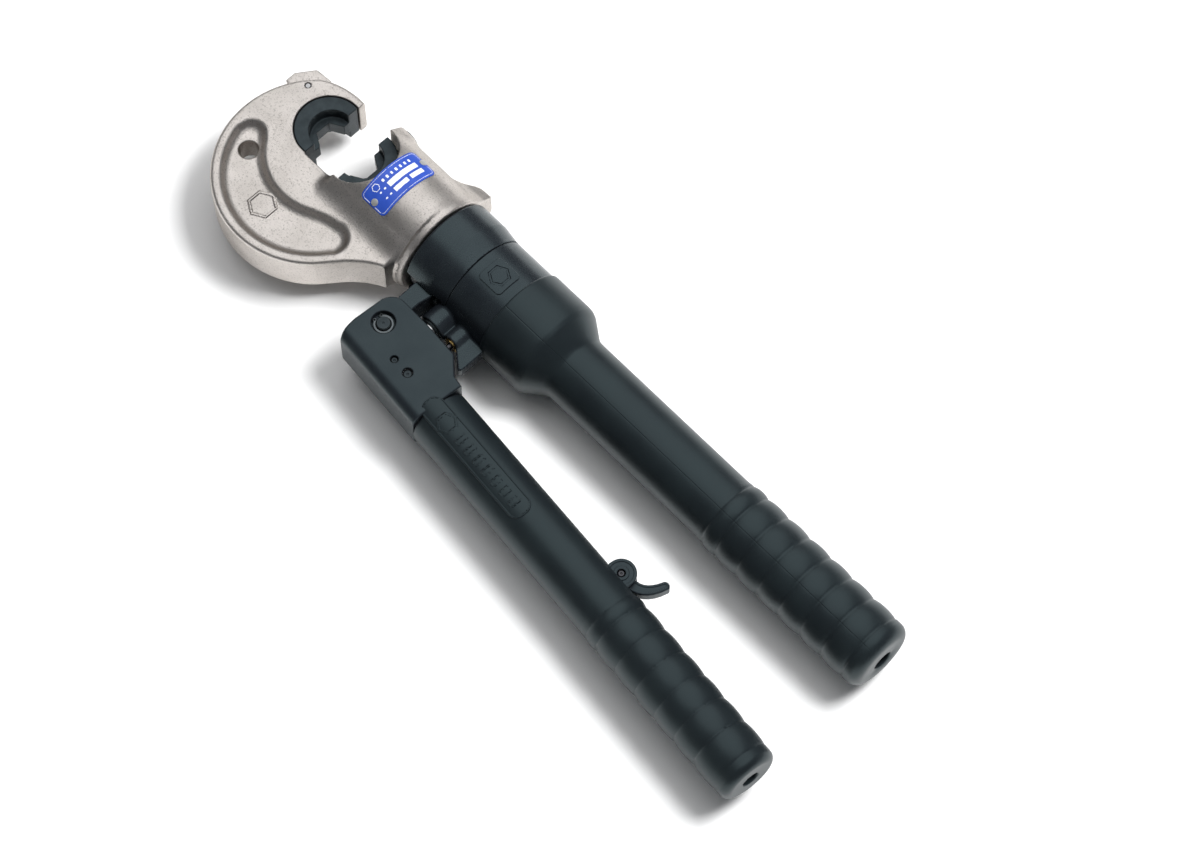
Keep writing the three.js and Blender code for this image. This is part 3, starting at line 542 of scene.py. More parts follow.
NICKEL = shot_blasted()
RUBBER = black_rubber()
BODY_BLACK = black_coating("body_black", 0.27, 0.8, 0.012)
BLOCK_BLACK = black_coating("block_black", 0.38, 0.45, 0.02)
BLUED = blued_steel()
STEEL = bright_steel("turned_steel", (0.62, 0.62, 0.63), 0.42, (6, 1, 1))
GROUND = bright_steel("ground_steel", (0.62, 0.63, 0.64), 0.2, (4, 1, 1))
SPRING = bright_steel("spring_steel", (0.10, 0.10, 0.11), 0.34, (1, 1, 1))
RIVET = bright_steel("rivet_alloy", (0.88, 0.88, 0.88), 0.6, (1, 1, 1))
CLIP = bright_steel("worn_clip", (0.15, 0.17, 0.18), 0.32, (1, 1, 1))
BRASS = bright_steel("brass", (0.62, 0.42, 0.16), 0.3, (6, 1, 1))
SEAL = nitrile()
BLUE = enamel("plate_enamel", (0.018, 0.060, 0.36), (0.024, 0.073, 0.42))
WHITE = enamel("plate_print", (0.72, 0.74, 0.78), (0.80, 0.82, 0.86))

BY_SLOT = {
    "nickel": NICKEL, "grip_rubber": RUBBER, "black_body": BODY_BLACK, "blued_steel": BLUED, "steel": STEEL,
    "ground_steel": GROUND, "spring_steel": SPRING, "brass": BRASS, "seal_rubber": SEAL, "plate_enamel": BLUE,
}
for subpart in frame["record"]["subparts"]:
    node = frame["nodes"][subpart["node"]]
    node.data.materials.clear()
    node.data.materials.append(BY_SLOT[subpart["material_slot"]])

# ---------------------------------------------------------------- forged head


def head_outline():
    cx, cy = RIM_CENTRE
    points = [(345, 0), (345, 36.6)]
    points += bend((345, 36.6), (354, 40.5), (363, 50.2))
    points += arc(cx, cy, RIM_R, 2.4, -0.8, 60)
    points += bend(points[-1], (446, -24), (433, -24.8))
    points += [(JAW_END_X, -24.8), (JAW_END_X, -27), (BARREL_END_X - 10, -27), (BARREL_END_X - 10, 0)]
    return outline(points)


def pocket_outline():
    cx, cy = RIM_CENTRE
    points = arc(cx, cy, POCKET_R, 0.23, 2.45, 40)
    points += arc(379, 45.5, 10.6, 2.7, 5.1, 10)
    points += bend(points[-1], (390, 36.4), (397, 40))
    points += arc(417.5, 7.5, 38, 2.1, 0.62, 24)
    points += arc(457.4, 33.2, 8.6, 3.95, 6.3, 10)
    return outline(points)


HEAD_PLATE = head_outline()
POCKET = pocket_outline()
EAR = outline([
    (337.8, 0), (337.8, -36), (338.6, -37.2), (345.6, -36.8), (348.6, -35.2), (359.5, -25), (359.5, 0),
])
PIN_BOSS = outline([
    (462, -2), (471.2, -4.5), (471.2, -11.2), (463.9, -21.6), (453, -22.5), (450, -14),
])


def along_boss(x, y):
    """Depth below the mouth of the upper pin's bore, and distance aside from its axis in x and y."""
    dx, dy = x - BOSS_FACE[0], y - BOSS_FACE[1]
    depth = -(dx * BOSS_NORMAL[0] + dy * BOSS_NORMAL[1])
    aside = dx * BOSS_NORMAL[1] - dy * BOSS_NORMAL[0]
    return depth, aside


def throat(x, y):
    """The space for the dies, open on the side away from the lever."""
    upper = np.hypot(x - UPPER_DIE_X, y) - SEAT_R
    lower = np.hypot(x - LOWER_DIE_X, y) - THROAT_R
    middle = np.maximum(between(x, LOWER_DIE_X, JAW_END_X), between(y, -60, THROAT_R))
    seat_side = np.maximum(between(x, JAW_END_X - 1, UPPER_DIE_X), between(y, -SEAT_R, SEAT_R))
    return np.minimum(np.minimum(upper, lower), np.minimum(middle, seat_side))


def head(x, y, z):
    side = np.abs(z)
    round_axis = np.hypot(y, z)
    plate = both(HEAD_PLATE(x, y), side - PLATE_HALF, 2.2)

    top = PLATE_HALF - side
    slope = 0.8
    walls = (POCKET(x, y) + slope * top) / math.hypot(1, slope)
    plate = less(plate, both(walls, top - POCKET_DEPTH, 1.8), 1.1)

    mark_x, mark_y, mark_r = HEAD_MARK
    mark = np.abs(hexagon(x - mark_x, y - mark_y, mark_r)) - 0.6
    mark = np.maximum(mark, side - PLATE_HALF + POCKET_DEPTH - 0.5)
    plate = either(plate, mark, 0.3)

    step = soft_step(y, -6, 16)
    grooved_x = [FACE_X, 337.8, 341.6, 343.4, 346.5, BARREL_END_X]
    grooved = np.interp(x, grooved_x, [29.6, 31, 31, 29.5, BARREL_R, BARREL_R])
    plain = np.interp(x, [FACE_X, 337.8, 341.6, 346.5, BARREL_END_X], [29.6, 31, 31, BARREL_R, BARREL_R])
    barrel_r = grooved * step + plain * (1 - step)
    barrel = both(round_axis - barrel_r, between(x, FACE_X, BARREL_END_X), 2.4)
    ear_half = PLATE_HALF + 0.5 - 0.6 * np.maximum(-y - 27, 0)
    ear = both(EAR(x, y), side - ear_half, 1.2)
    boss = both(PIN_BOSS(x, y), side - 8, 0.8)
    shape = either(plate, barrel, 8)
    shape = either(shape, ear, 3)
    shape = either(shape, boss, 1.0)

    ram_bore = np.maximum(round_axis - BORE_R, between(x, NOSE_BORE_END, RAM_WAY_END))
    nose_bore = np.maximum(round_axis - NOSE_BORE_R, between(x, FACE_X - 5, NOSE_BORE_END))
    shape = less(shape, throat(x, y), 0.7)
    shape = less(shape, ram_bore, 0.4)
    shape = less(shape, nose_bore, 0.5)

    hx, hy, hr = HANG_HOLE
    shape = less(shape, np.hypot(x - hx, y - hy) - hr, 0.7)
    depth, aside = along_boss(x, y)
    pin_axis = np.hypot(aside, z)
    pin_bore = np.minimum(np.maximum(pin_axis - 4.8, depth - 8), np.maximum(pin_axis - 3.3, depth - 24))
    shape = less(shape, pin_bore, 0.4)
    keeper = np.hypot(depth - 12.2, aside) - 1.8
    shape = less(shape, keeper, 0.3)
    from_button = np.hypot(x - BUTTON_X, z)
    button_bore = np.maximum(from_button - 6.6, y + 25.2)
    shape = less(shape, button_bore, 0.4)
    return less(shape, np.maximum(from_button - 2.6, y + 15), 0.2)


sculpt(
    "forged_head", head, (334, -41, -34), (476, 85, 34), 0.8, NICKEL, "head", ["head_frame"],
)

# ---------------------------------------------------------------- dies, ram and their catches


def die(centre, flat, facing):
    """A half-moon die with a thin hexagonal web."""

    def distance(x, y, z):
        side = np.abs(z)
        body = both(np.hypot(x - centre, y) - DIE_R, (x - flat) * facing, 0.5)
        body = both(body, side - DIE_HALF, 0.5)
        recess = both(np.hypot(x - flat, y) - 12.6, 4.8 - side, 0.9)
        body = less(body, recess, 0.35)
        return less(body, hexagon(x - flat, y, 7.79), 0.3)

    return distance


sculpt(
    "fixed_die", die(UPPER_DIE_X, UPPER_FLAT_X, -1), (425, -22, -15), (452, 22, 15), 0.5, BLUED, "head",
    ["upper_die"],
)
sculpt(
    "moving_die", die(LOWER_DIE_X, LOWER_FLAT_X, 1), (380, -22, -15), (406, 22, 15), 0.5, BLUED, "ram",
    ["lower_die"],
)


def die_button(x, y, z):
    from_axis = np.hypot(x - BUTTON_X, z)
    cap = both(from_axis - 6.3, between(y, -32.4, -28.4), 0.8)
    dish = both(from_axis - 4.4, y + 31.8, 0.4)
    stem = both(from_axis - 2.3, between(y, -29, -22.4), 0.3)
    return np.minimum(less(cap, dish, 0.3), stem)


sculpt(
    "die_button", die_button, (391, -34, -8), (407.5, -21, 8), 0.4, BLUED, "lower_button",
    ["lower_die_button"],
)

# ---------------------------------------------------------------- rating plate

PLATE_X = (PLATE_ENDS[0] + PLATE_ENDS[1]) / 2
PLATE_SIZE = ((PLATE_ENDS[1] - PLATE_ENDS[0]) / 2, math.radians(40) * BARREL_R)
PRINT_BARS = (((0.8, -4.6), (1.75, 10.4)), ((-3.9, 0.6), (1.5, 4.9)), ((-3.9, -10.8), (1.5, 4.7)))
PRINT_ROWS = ((5.0, -13.0, 7.0, 1.0), (0.8, 8.6, 13.6, 0.6), (-3.9, 8.4, 14.4, 0.55))


def rounded_box(u, v, half_u, half_v, r):
    du, dv = np.abs(u) - (half_u - r), np.abs(v) - (half_v - r)
    return np.minimum(np.maximum(du, dv), 0) + np.hypot(np.maximum(du, 0), np.maximum(dv, 0)) - r


def on_plate(x, y, z):
    """Distances along and round the barrel from the plate's middle, and the radius."""
    return x - PLATE_X, np.arctan2(y, z) * BARREL_R, np.hypot(y, z)


def from_rivet(u, v, rivet_angle):
    return np.hypot(u, v - math.radians(rivet_angle) * BARREL_R)


def rating_plate(x, y, z):
    u, v, radius = on_plate(x, y, z)
    sheet = rounded_box(u, v, PLATE_SIZE[0], PLATE_SIZE[1], 3.2)
    sheet = both(sheet, between(radius, 29.9, BARREL_R + 0.5), 0.2)
    for rivet_angle in RIVET_ANGLES:
        sheet = less(sheet, from_rivet(u, v, rivet_angle) - 1.5, 0.1)
    return sheet


sculpt(
    "name_plate", rating_plate, (361, -23, 21), (385, 23, 32.5), 0.45, BLUE, "head", ["rating_plate"],
)


def plate_print(x, y, z):
    """A border, a hexagon, plain bars and short ticks in place of lettering."""
    u, v, radius = on_plate(x, y, z)
    border = np.abs(rounded_box(u, v, PLATE_SIZE[0] - 1.2, PLATE_SIZE[1] - 1.2, 2.2)) - 0.2
    mark = np.abs(hexagon(u - 4.9, v - 11.8, 2.0)) - 0.28
    flat = np.minimum(border, mark)
    ticks = [
        ((row, at), (half, 0.75)) for row, start, end, half in PRINT_ROWS for at in np.arange(start, end, 3.2)
    ]
    for middle, half in (*PRINT_BARS, *ticks):
        flat = np.minimum(flat, rounded_box(u - middle[0], v - middle[1], half[0], half[1], 0.3))
    for rivet_angle in RIVET_ANGLES:
        flat = np.maximum(flat, 2.8 - from_rivet(u, v, rivet_angle))
    return np.maximum(flat, between(radius, BARREL_R + 0.1, BARREL_R + 0.56))


sculpt(
    "plate_print", plate_print, (361, -23, 21), (385, 23, 32.5), 0.3, WHITE, "head",
)

# ---------------------------------------------------------------- pump body, collar and badge

LUG = outline([
    (313, 10), (329, 10), (328.6, 36), (328.4, 60.1), (326, 66), (320, 68.6), (314, 66), (311.6, 60.1),
    (317.6, 44), (317.6, 36),
])
FIN = outline([(274.2, 20), (274.2, 45.4), (276, 47), (284, 40.5), (292, 34), (292, 20)])


def pump_body(x, y, z):
    side = np.abs(z)
    round_axis = np.hypot(y, z)
    core = both(round_axis - BODY_R, between(x, 276, 306.6), 0.5)
    back = both(round_axis - 26.3, between(x, 250, 277), 0.5)
    nose = both(round_axis - 26.4, between(x, 300, 336.5), 0.5)
    core = np.minimum(core, np.minimum(back, nose))
    lug = both(LUG(x, y), side - LUG_HALF, 1.0)
    from_plunger, from_valve = np.hypot(x - PLUNGER_X, z), np.hypot(x - VALVE_X, z)
    plunger_boss = both(from_plunger - 8.6, between(y, 8, 39), 0.9)
    valve_boss = both(from_valve - 6.4, between(y, 8, 38), 0.9)
    fin = both(FIN(x, y), side - FIN_HALF, 0.9)
    bosses = either(plunger_boss, valve_boss, 1.6)
    bosses = either(bosses, fin, 1.2)
    bosses = either(bosses, lug, 1.0)
    shape = either(core, bosses, 1.6)
    holes = [
        np.hypot(x - LUG_PIN[0], y - LUG_PIN[1]) - 4.2,
        np.maximum(from_plunger - 6.8, 31 - y),
        np.maximum(from_valve - 4.6, 24 - y),
        np.maximum(round_axis - 17.3, x - 266),
    ]
    for hole in holes:
        shape = less(shape, hole, 0.3)
    return shape


sculpt(
    "pump_body", pump_body, (248, -31, -31), (338, 70.5, 31), 0.8, BODY_BLACK, "root", ["pump_block"],
)


def collar(x, y, z):
    round_axis = np.hypot(y, z)
    outer_x = [306.9, 309, 317.5, 318.5, 335.6, 336.6]
    outer = np.interp(x, outer_x, [28.95, 29.1, 30.45, COLLAR_R, COLLAR_R, 29.9])
    shell = both(round_axis - outer, 26.8 - round_axis, 0.1)
    shell = both(shell, between(x, 307, 336.6), 0.1)
    window = both(both(np.abs(z) - 10, 14 - y, 0.1), 309.5 - x, 1.5)
    shell = less(shell, window, 0.6)
    return less(shell, np.maximum(np.hypot(x - PLUNGER_X, z) - 9.2, 5 - y), 0.4)


sculpt(
    "collar", collar, (305.5, -32, -32), (338, 32, 32), 0.7, BODY_BLACK, "root", ["front_collar"],
)

BADGE_X = 292.0


def badge(x, y, z):
    """A raised rounded square with an engraved hexagon, on top of the pump body."""
    radius = np.hypot(y, z)
    u, v = x - BADGE_X, np.arctan2(y, z) * BODY_R
    raised = both(rounded_box(u, v, 8.4, 8.4, 2.6), between(radius, BODY_R - 0.6, BODY_R + 0.8), 0.3)
    groove = np.abs(hexagon(u, v, 4.9)) - 0.6
    return less(raised, np.maximum(groove, BODY_R + 0.3 - radius), 0.12)


sculpt(
    "body_badge", badge, (282, -10, 26), (302, 10, 31), 0.35, BODY_BLACK, "root",
)

# ---------------------------------------------------------------- grips


def arched(x, creases, base, height):
    """Rubber rings: a low arch between every two creases."""
    r = np.full(np.shape(x), float(base))
    for start, end in zip(creases, creases[1:]):
        t = np.clip((x - start) / (end - start), 0, 1)
        r = np.maximum(r, base + height * np.sin(math.pi * t) ** 0.62)
    return r


SEAM = math.radians(19)
SEAM_WIDTH = math.radians(0.32)
SEAM_DEPTH = 0.22


def seam_angles():
    """Even steps round the axis, with close ones either side of the moulded seam."""
    even = np.linspace(-math.pi, math.pi, 224, endpoint=False)
    near = SEAM + np.radians([-1.1, -0.75, -0.45, -0.2, 0.0, 0.2, 0.45, 0.75, 1.1])
    far = even[np.abs(even - SEAM) > math.radians(1.5)]
    return np.sort(np.concatenate([far, near]))


def seam_dip(angle):
    return SEAM_DEPTH * np.exp(-((angle - SEAM) / SEAM_WIDTH) ** 2)


def main_grip():
    """The fixed handle's sleeve: a rounded butt, the ribbed grip, a plain tube and a wide open mouth."""
    creases = np.array(MAIN_CREASES)
    ribs = np.concatenate([np.linspace(a, b, 19)[:-1] for a, b in zip(creases, creases[1:])])
    turn = np.linspace(0, math.pi / 2, 9)[::-1]
    butt, fall = BUTT_ROUNDING * (1 - np.sin(turn)), BUTT_ROUNDING * (1 - np.cos(turn))
    xs = np.concatenate([
        butt, [7.2, 8.6, 9.4], ribs, [115, 116, 117.5], np.linspace(120, 232, 40), np.linspace(233, 252, 30),
        np.linspace(253.5, 274, 10), [275.5, 276.4, 277.0, 277.35, SLEEVE_LIP_X],
    ])
    body_x = [0, 6, 117, 118, 231.5, 234, 236, 246.5, 249, 252, 276.6, 277.2, SLEEVE_LIP_X]
    body_r = [20.7, 20.9, 20.5, TUBE_R, TUBE_R, 20.45, 21.4, 28.7, 29.65, SLEEVE_R, SLEEVE_R, 29.8, 29.4]

    def radius(x, angle):
        r = np.interp(x, body_x, body_r)
        r = np.where((x >= creases[0]) & (x <= creases[-1]), arched(x, MAIN_CREASES, 20.25, 1.25), r)
        r = r - np.interp(x, butt, fall)
        return r - seam_dip(angle) * soft_step(x, 3, 8)

    angles = seam_angles()
    columns = len(angles)
    points, faces = tube(xs, angles, radius)
    mouth = [(SLEEVE_LIP_X, 29.05), (274.5, 29.05), (274.5, 27.2), (262, 27.1)]
    butt_hole = [(0.0, 6.3), (0.4, 6.0), (2.4, 6.0), (2.4, 9)]
    for profile, row, flip in ((mouth, len(xs) - 1, False), (butt_hole, 0, True)):
        previous = row * columns
        for x, r in profile:
            ring = len(points)
            circle = np.stack([np.full(columns, x), r * np.sin(angles), r * np.cos(angles)], axis=1)
            points = np.concatenate([points, circle])
            for k in range(columns):
                n = (k + 1) % columns
                quad = (previous + k, ring + k, ring + n, previous + n)
                faces.append(quad[::-1] if flip else quad)
            previous = ring
    return points, faces


points, faces = main_grip()
piece("main_sleeve", points, faces, RUBBER, "root", ["main_grip"])

# ---------------------------------------------------------------- die pin, ram and rivets


def upper_pin(x, y, z):
    depth, aside = along_boss(x, y)
    r = np.hypot(aside, z)
    button = both(r - 4.3, between(depth, 0.4, 3.2), 0.5)
    shank = both(r - 2.5, between(depth, 3, 24.6), 0.3)
    keeper_way = np.hypot(np.maximum(np.abs(depth - 11.5) - 0.7, 0), aside) - 1.8
    return less(np.minimum(button, shank), keeper_way, 0.1)


sculpt(
    "die_pin", upper_pin, (443, -21, -5), (471, 2, 5), 0.35, STEEL, "upper_pin", ["upper_die_pin"],
)


def ram_body(x, y, z):
    r = np.hypot(y, z)
    shape = both(r - np.interp(x, [355, 358], [20.4, 20.7]), between(x, 355, 387.7), 0.2)
    shape = less(shape, np.hypot(x - LOWER_DIE_X, y) - SEAT_R, 0.4)
    shape = less(shape, np.maximum(r - 9.5, x - 376), 0.3)
    seal_groove = np.maximum(18.4 - r, between(x, 361, 365))
    return less(shape, seal_groove, 0.1)


sculpt(
    "ram_body", ram_body, (354, -22, -22), (389, 22, 22), 0.6, GROUND, "ram", ["ram"],
)
for rivet_name, rivet_angle in zip(("plate_rivet_upper", "plate_rivet_lower"), RIVET_ANGLES):
    outward = (0, math.sin(math.radians(rivet_angle)), math.cos(math.radians(rivet_angle)))
    dome = [(24.6, 0), (24.6, 1.1), (30.85, 1.1), (30.85, 2.1)]
    dome += [(30.95 + 0.5 * math.sin(t), 2.15 * math.cos(t)) for t in np.linspace(0, math.pi / 2, 8)[:-1]]
    dome += [(31.45, 0)]
    turned(
        rivet_name.replace("plate_", "domed_"), dome, (PLATE_X, 0, 0), outward, RIVET, "head", [rivet_name],
    )

# ---------------------------------------------------------------- springs


def coil(name, start, direction, size, body, node, on_lever=False):
    """A closed coil of round wire; size is (mean radius, wire thickness, length, turns)."""
    radius, wire, length, turns = size
    start, axis = np.array(start, float), np.array(direction, float)
    axis /= np.linalg.norm(axis)
    side = np.cross(axis, (0, 0, 1))
    other = np.cross(axis, side)
    steps, around = int(turns * 32), 10
    points, faces = [], []
    for k in range(steps + 1):
        a = 2 * math.pi * turns * k / steps
        out = math.cos(a) * side + math.sin(a) * other
        centre = start + out * radius + axis * length * k / steps
        for q in range(around):
            b = 2 * math.pi * q / around
            points.append(centre + wire / 2 * (math.cos(b) * out + math.sin(b) * axis))
    for k in range(steps):
        for q in range(around):
            n = (q + 1) % around
            faces.append((k * around + q, k * around + n, (k + 1) * around + n, (k + 1) * around + q))
    faces.append(tuple(range(around - 1, -1, -1)))
    faces.append(tuple(steps * around + q for q in range(around)))
    return piece(name, points, faces, SPRING, body, [node], on_lever)


BOSS_START = np.array((*BOSS_FACE, 0)) - 3.9 * np.array((*BOSS_NORMAL, 0))
INTO_BOSS = (-BOSS_NORMAL[0], -BOSS_NORMAL[1], 0)
pin_coil = coil("die_pin_coil", BOSS_START, INTO_BOSS, (3.6, 0.8, 3.4, 3), "head", "upper_pin_spring")
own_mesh(pin_coil)
button_coil = coil(
    "button_coil", (BUTTON_X, -27.8, 0), (0, 1, 0), (4, 0.8, 2, 2), "head", "lower_button_spring",
)
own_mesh(button_coil)
coil("return_coil", (353.5, 0, 0), (1, 0, 0), (7.4, 2, 20, 5), "head", "ram_return_spring")
coil(
    "rod_coil", (TRIGGER_HUB[0] + 14, -9, 0), (1, 0, 0), (2.55, 0.5, 8, 5), "lever", "rod_spring",
    on_lever=True,
)

# ---------------------------------------------------------------- pump parts that show

turned(
    "gland", sleeve(31.3, 40, 6.5, 5.15), (PLUNGER_X, 0, 0), (0, 1, 0), BLUED, "root", ["plunger_gland"],
    ring=True,
)
plunger = [
    (-4, 0), (-4, 4.5), (-3.5, 5), (44.8, 5), (44.8, 5.9), (45.3, 6.4), (46.6, 6.4), (47.1, 5.9), (47.3, 4.5),
    (47.3, 0),
]
turned(
    "plunger", plunger, (PLUNGER_X, 0, 0), (0, 1, 0), GROUND, "plunger", ["pump_plunger"],
)
turned(
    "valve_seat", sleeve(24.3, 39, 4.3, 2.3), (VALVE_X, 0, 0), (0, 1, 0), BRASS, "root", ["release_seat"],
    ring=True,
)
stem = [
    (10, 0), (10.4, 0.9), (11.4, 2), (41.3, 2), (41.3, 3.1), (41.6, 3.4), (42.7, 3.4), (43.1, 3.0), (43.1, 0),
]
turned(
    "valve_stem", stem, (VALVE_X, 0, 0), (0, 1, 0), SPRING, "stem", ["release_stem"],
)

# ---------------------------------------------------------------- lever

LEVER_BLOCK = outline(
    [(-55.7, -17), (-48.6, -17.6), (-38.2, -25.3), (-16, -25.1)]
    + [(4.4, -23.8)] + bend((4.4, -23.8), (10.6, -22.6), (12.4, -15.5))
    + [(12.4, 3)] + bend((12.4, 3), (11.8, 11), (8.6, 16.8)) + [(-55.7, 16.8)]
)
DRIVE_PIN = (-12.6, -16.6)
BLOCK_BORES = ((PIVOT, 4.3), (CRANK_PIN, 2.2), (TUBE_PIN, 2.9))


def lever_block(x, y, z):
    side = np.abs(z)
    shape = both(LEVER_BLOCK(x, y), both(side - CHEEK_HALF, y - 16.7, 7.2), 1.1)
    fork = np.maximum(between(x, -44, 40), np.maximum(y - 4.4, side - FORK_HALF))
    shape = less(shape, fork, 0.8)
    shape = less(shape, np.maximum(x + 49, y + 17.4), 0.4)
    socket = np.maximum(np.hypot(y, z) - LEVER_BORE_R, x + 24.9)
    shape = less(shape, socket, 0.4)
    shape = less(shape, np.maximum(np.hypot(x - PIVOT[0], y - PIVOT[1]) - 6.7, 12.6 - side), 0.5)
    for (hx, hy), r in BLOCK_BORES:
        shape = less(shape, np.hypot(x - hx, y - hy) - r, 0.45)
    drive_bore = np.maximum(np.hypot(x - DRIVE_PIN[0], y - DRIVE_PIN[1]) - 2.3, z - 13.3)
    return less(shape, drive_bore, 0.3)


sculpt(
    "fork_block", lever_block, (-57, -27, -18), (14, 18, 18), 0.6, BLOCK_BLACK, "lever", ["lever_block"],
    on_lever=True,
)


def lever_sleeve(x, y, z):
    r = np.hypot(y, z)
    outer = np.interp(x, [-320, -316, -202, -200, LEVER_SEAM_X], [17.2, 17.55, 17.5, LEVER_R, LEVER_R])
    ribs = arched(x, LEVER_CREASES, 17.2, 0.95)
    outer = np.where((x > LEVER_CREASES[0]) & (x < LEVER_CREASES[-1]), ribs, outer)
    shape = both(r - outer, LEVER_END_X - x, 4.5)
    shape = both(shape, x - (LEVER_SEAM_X - 0.3), 0.5)
    tube_bore = np.maximum(r - LEVER_BORE_R, -312.3 - x)
    shape = np.maximum(shape, -tube_bore)
    shape = less(shape, r - 5, 0.6)
    hub_x = TRIGGER_HUB[0]
    slot = both(between(x, hub_x - 17.6, hub_x + 9.6), np.abs(z) - 7.2, 2.0)
    slot = np.maximum(slot, y + 8)
    return less(shape, slot, 0.6)


sculpt(
    "lever_sleeve", lever_sleeve, (-321, -19, -19), (-55, 19, 19), 0.9, RUBBER, "lever", ["lever_grip"],
    on_lever=True,
)
PAD_MIDDLE = (-93.5, 3.0)


def lever_pad(x, y, z):
    r = np.hypot(y, z)
    u, v = x - PAD_MIDDLE[0], (np.arctan2(y, z) - math.asin(PAD_MIDDLE[1] / LEVER_R)) * LEVER_R
    flat = rounded_box(u, v, 42.5, 7.2, 6.4)
    pad = both(flat, between(r, LEVER_R - 1.2, LEVER_R + 0.62), 0.3)
    sunk = np.maximum(flat + 0.9, LEVER_R + 0.38 - r)
    marks = np.abs(hexagon(u - 25, v, 4.9)) - 0.6
    for at in np.arange(12.5, -34, -7.6):
        marks = np.minimum(marks, np.abs(rounded_box(u - at, v, 1.7, 3.2, 1.2)) - 0.42)
    sunk = np.maximum(sunk, -marks)
    return less(pad, sunk, 0.12)


sculpt(
    "lever_pad", lever_pad, (-137, -6, 14), (-50, 12, 19), 0.45, RUBBER, "lever",
    on_lever=True,
)


def circlip(low, high):
    """A snap ring with a lug and a plier hole at each end."""

    def distance(x, y, z):
        dx, dy = x - PIVOT[0], y - PIVOT[1]
        turn = np.abs(np.arctan2(dy, dx))
        from_axis = np.hypot(dx, dy)
        from_lug = np.hypot(dx - 5.0, np.abs(dy) - 2.3)
        band = np.maximum(np.abs(from_axis - 5.0) - 0.7, (0.42 - turn) * 5)
        flat = np.maximum(np.minimum(band, from_lug - 1.15), 0.5 - from_lug)
        flat = np.maximum(flat, 4.3 - from_axis)
        return both(flat, between(z, low, high), 0.15)

    return distance


for clip, low, high in (("upper", 12.9, 14.0), ("lower", -14.0, -12.9)):
    sculpt(
        "snap_ring_" + clip, circlip(low, high), (-6.5, -14, low - 0.6), (8, 0, high + 0.6), 0.25, CLIP,
        "lever", ["pivot_circlip_" + clip], on_lever=True,
    )


def pin_profile(half, r, dimple):
    """A chamfered pin with a centre mark in each end."""
    shape = [(-half + dimple, 0), (-half, dimple), (-half, r - 0.5), (-half + 0.5, r)]
    return shape + [(-along, radius) for along, radius in reversed(shape)]


LEVER_PINS = (
    ("pivot_pin", PIVOT, 15.4, 4.0, BLUED, "blued_steel"),
    ("drive_pin", DRIVE_PIN, 13.0, 2.0, STEEL, "steel"),
    ("crank_pin", CRANK_PIN, 15.0, 1.9, BLUED, "blued_steel"),
    ("tube_pin", TUBE_PIN, 14.6, 2.5, BLUED, "blued_steel"),
    ("trigger_pin", TRIGGER_HUB, 6.0, 2.0, SPRING, "steel"),
)
for pin, at, half, r, look, slot in LEVER_PINS:
    profile = pin_profile(half, r, 0.7)
    turned("turned_" + pin, profile, (*at, 0), (0, 0, 1), look, "lever", [pin], on_lever=True)
turned(
    "roller", sleeve(-7.6, 7.6, 4.2, 2.3, 0.6), (*DRIVE_PIN, 0), (0, 0, 1), GROUND, "lever", ["drive_roller"],
    on_lever=True, ring=True,
)

# ---------------------------------------------------------------- trigger and crank

HX, HY = TRIGGER_HUB
CHEEK = outline([(HX - 8.4, HY + 9)] + arc(HX, HY, 8.4, math.pi, 2 * math.pi, 24) + [(HX + 8.4, HY + 9)])
FINGER = outline(
    [(HX - 3, HY - 4.6)] + bend((HX - 3, HY - 4.6), (HX - 13, HY - 2.4), (HX - 16.6, HY - 14.6))
    + arc(HX - 19.2, HY - 14, 2.7, -0.25, -2.9, 12)
    + bend((HX - 21.82, HY - 14.65), (HX - 19, HY + 2.6), (HX - 3, HY + 3))
)
TRIGGER_ARM = outline([(HX - 0.6, HY + 3), (HX + 4, HY + 3), (HX + 4, HY + 11.6), (HX + 1, HY + 11.6)])


def trigger_bracket(x, y, z):
    side = np.abs(z)
    shape = both(CHEEK(x, y), side - 6.6, 0.5)
    from_hub = np.hypot(x - HX, y - HY)
    shape = less(shape, np.maximum(from_hub - 6.6, 6.1 - side), 0.3)
    shape = np.minimum(shape, both(np.maximum(from_hub - 4.2, 4 - side), side - 6.6, 0.3))
    shape = less(shape, np.maximum(side - 4, y - HY - 7), 0.2)
    shape = less(shape, np.maximum(side - 4, np.maximum(HX - 2 - x, HY + 6 - y)), 0.2)
    return less(shape, from_hub - 2.3, 0.3)


sculpt(
    "trigger_cheeks", trigger_bracket, (HX - 10, HY - 10, -7.5), (HX + 10, HY + 10, 7.5), 0.4, BLOCK_BLACK,
    "lever", ["trigger_bracket"], on_lever=True,
)


def trigger(x, y, z):
    hub = np.hypot(x - HX, y - HY) - 6.4
    flat = either(hub, np.minimum(FINGER(x, y), TRIGGER_ARM(x, y)), 1.2)
    shape = both(flat, np.abs(z) - 3.6, 1.0)
    shape = less(shape, np.maximum(FINGER(x, y) + 1.5, 3.1 - np.abs(z)), 0.25)
    return less(shape, np.hypot(x - HX, y - HY) - 2.3, 0.3)


sculpt(
    "trigger_finger", trigger, (HX - 24, HY - 19, -4.5), (HX + 8, HY + 13, 4.5), 0.4, BLOCK_BLACK, "trigger",
    ["release_trigger"], on_lever=True,
)

KX, KY = CRANK_PIN
CRANK = outline([
    (KX - 4, KY + 2), (KX - 4, KY - 16.4), (KX - 14, KY - 19.4), (KX - 14, KY - 26.2), (KX - 4.9, KY - 26.2),
    (KX - 3.6, KY - 19.6), (KX, KY - 13.6), (KX + 3.4, KY - 4), (KX + 3.4, KY + 2),
])


def crank(x, y, z):
    shape = both(CRANK(x, y), np.abs(z) - 5, 0.6)
    return less(shape, np.hypot(x - KX, y - KY) - 2.2, 0.3)


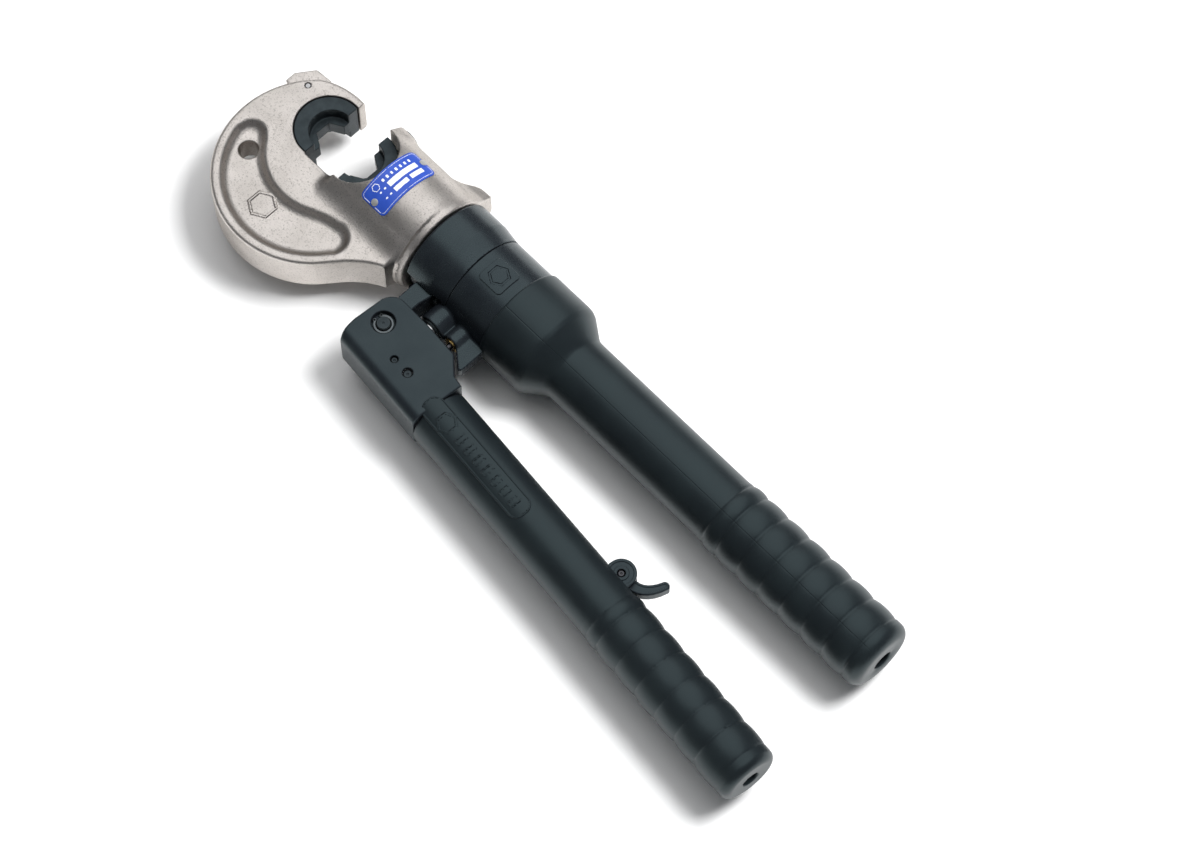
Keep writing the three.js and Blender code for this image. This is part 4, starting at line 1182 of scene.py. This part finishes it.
sculpt(
    "crank_plate", crank, (KX - 15, KY - 28, -6), (KX + 5, KY + 4, 6), 0.5, BLUED, "crank", ["release_crank"],
    on_lever=True,
)

# ---------------------------------------------------------------- floor, light and camera


def soft_light(name, place, aim, width, depth, power):
    data = bpy.data.lights.new(name, "AREA")
    data.shape = "RECTANGLE"
    data.size = width
    data.size_y = depth
    data.energy = power
    lamp = bpy.data.objects.new(name, data)
    bpy.context.scene.collection.objects.link(lamp)
    lamp.location = place
    lamp.rotation_euler = (Vector(aim) - Vector(place)).to_track_quat("-Z", "Y").to_euler()
    return lamp


def pale_floor():
    mesh = bpy.data.meshes.new("floor")
    half = 3.0
    corners = [(-half, -half, 0), (half, -half, 0), (half, half, 0), (-half, half, 0)]
    mesh.from_pydata(corners, [], [(0, 1, 2, 3)])
    thing = bpy.data.objects.new("floor", mesh)
    bpy.context.scene.collection.objects.link(thing)
    paint = Paint("floor_white", Metallic=0.0, Roughness=0.9, Specular_IOR_Level=0.1)
    paint.colour(paint.mix(paint.noise(300, 2), (0.90, 0.90, 0.90), (0.92, 0.92, 0.92)))
    mesh.materials.append(paint.material)


def studio():
    world = bpy.data.worlds.new("studio")
    bpy.context.scene.world = world
    world.use_nodes = True
    background = world.node_tree.nodes["Background"]
    background.inputs["Color"].default_value = (0.93, 0.96, 1.0, 1)
    background.inputs["Strength"].default_value = 0.13
    soft_light("overhead_box", (0.45, -0.52, 1.66), (0, 0.03, 0), 2.1, 2.6, 19)
    fill = soft_light("floor_fill", (-0.62, -0.82, 2.0), (0, 0, 0), 0.75, 0.75, 58)
    lift = soft_light("ceiling_fill", (0.1, 0.1, 2.6), (0, 0, 0), 2.4, 2.4, 9)
    for lamp in (fill, lift):
        lamp.visible_glossy = False


def viewpoint():
    azimuth, elevation, distance = math.radians(226.145), math.radians(66), 2.11668
    target = Vector(to_frame([(199.965, 20.279, 0)])[0])
    level = math.cos(elevation)
    back = Vector((math.sin(azimuth) * level, -math.cos(azimuth) * level, math.sin(elevation)))
    right = Vector((math.cos(azimuth), math.sin(azimuth), 0))
    up = back.cross(right)
    data = bpy.data.cameras.new("camera")
    data.lens = 120
    data.sensor_width = 36
    data.clip_start = 0.05
    camera = bpy.data.objects.new("camera", data)
    bpy.context.scene.collection.objects.link(camera)
    turn = Matrix((right, up, back)).transposed().to_4x4()
    camera.matrix_world = Matrix.Translation(target + back * distance) @ turn
    bpy.context.scene.camera = camera


pale_floor()
studio()
viewpoint()
bpy.context.scene.view_settings.view_transform = "Standard"
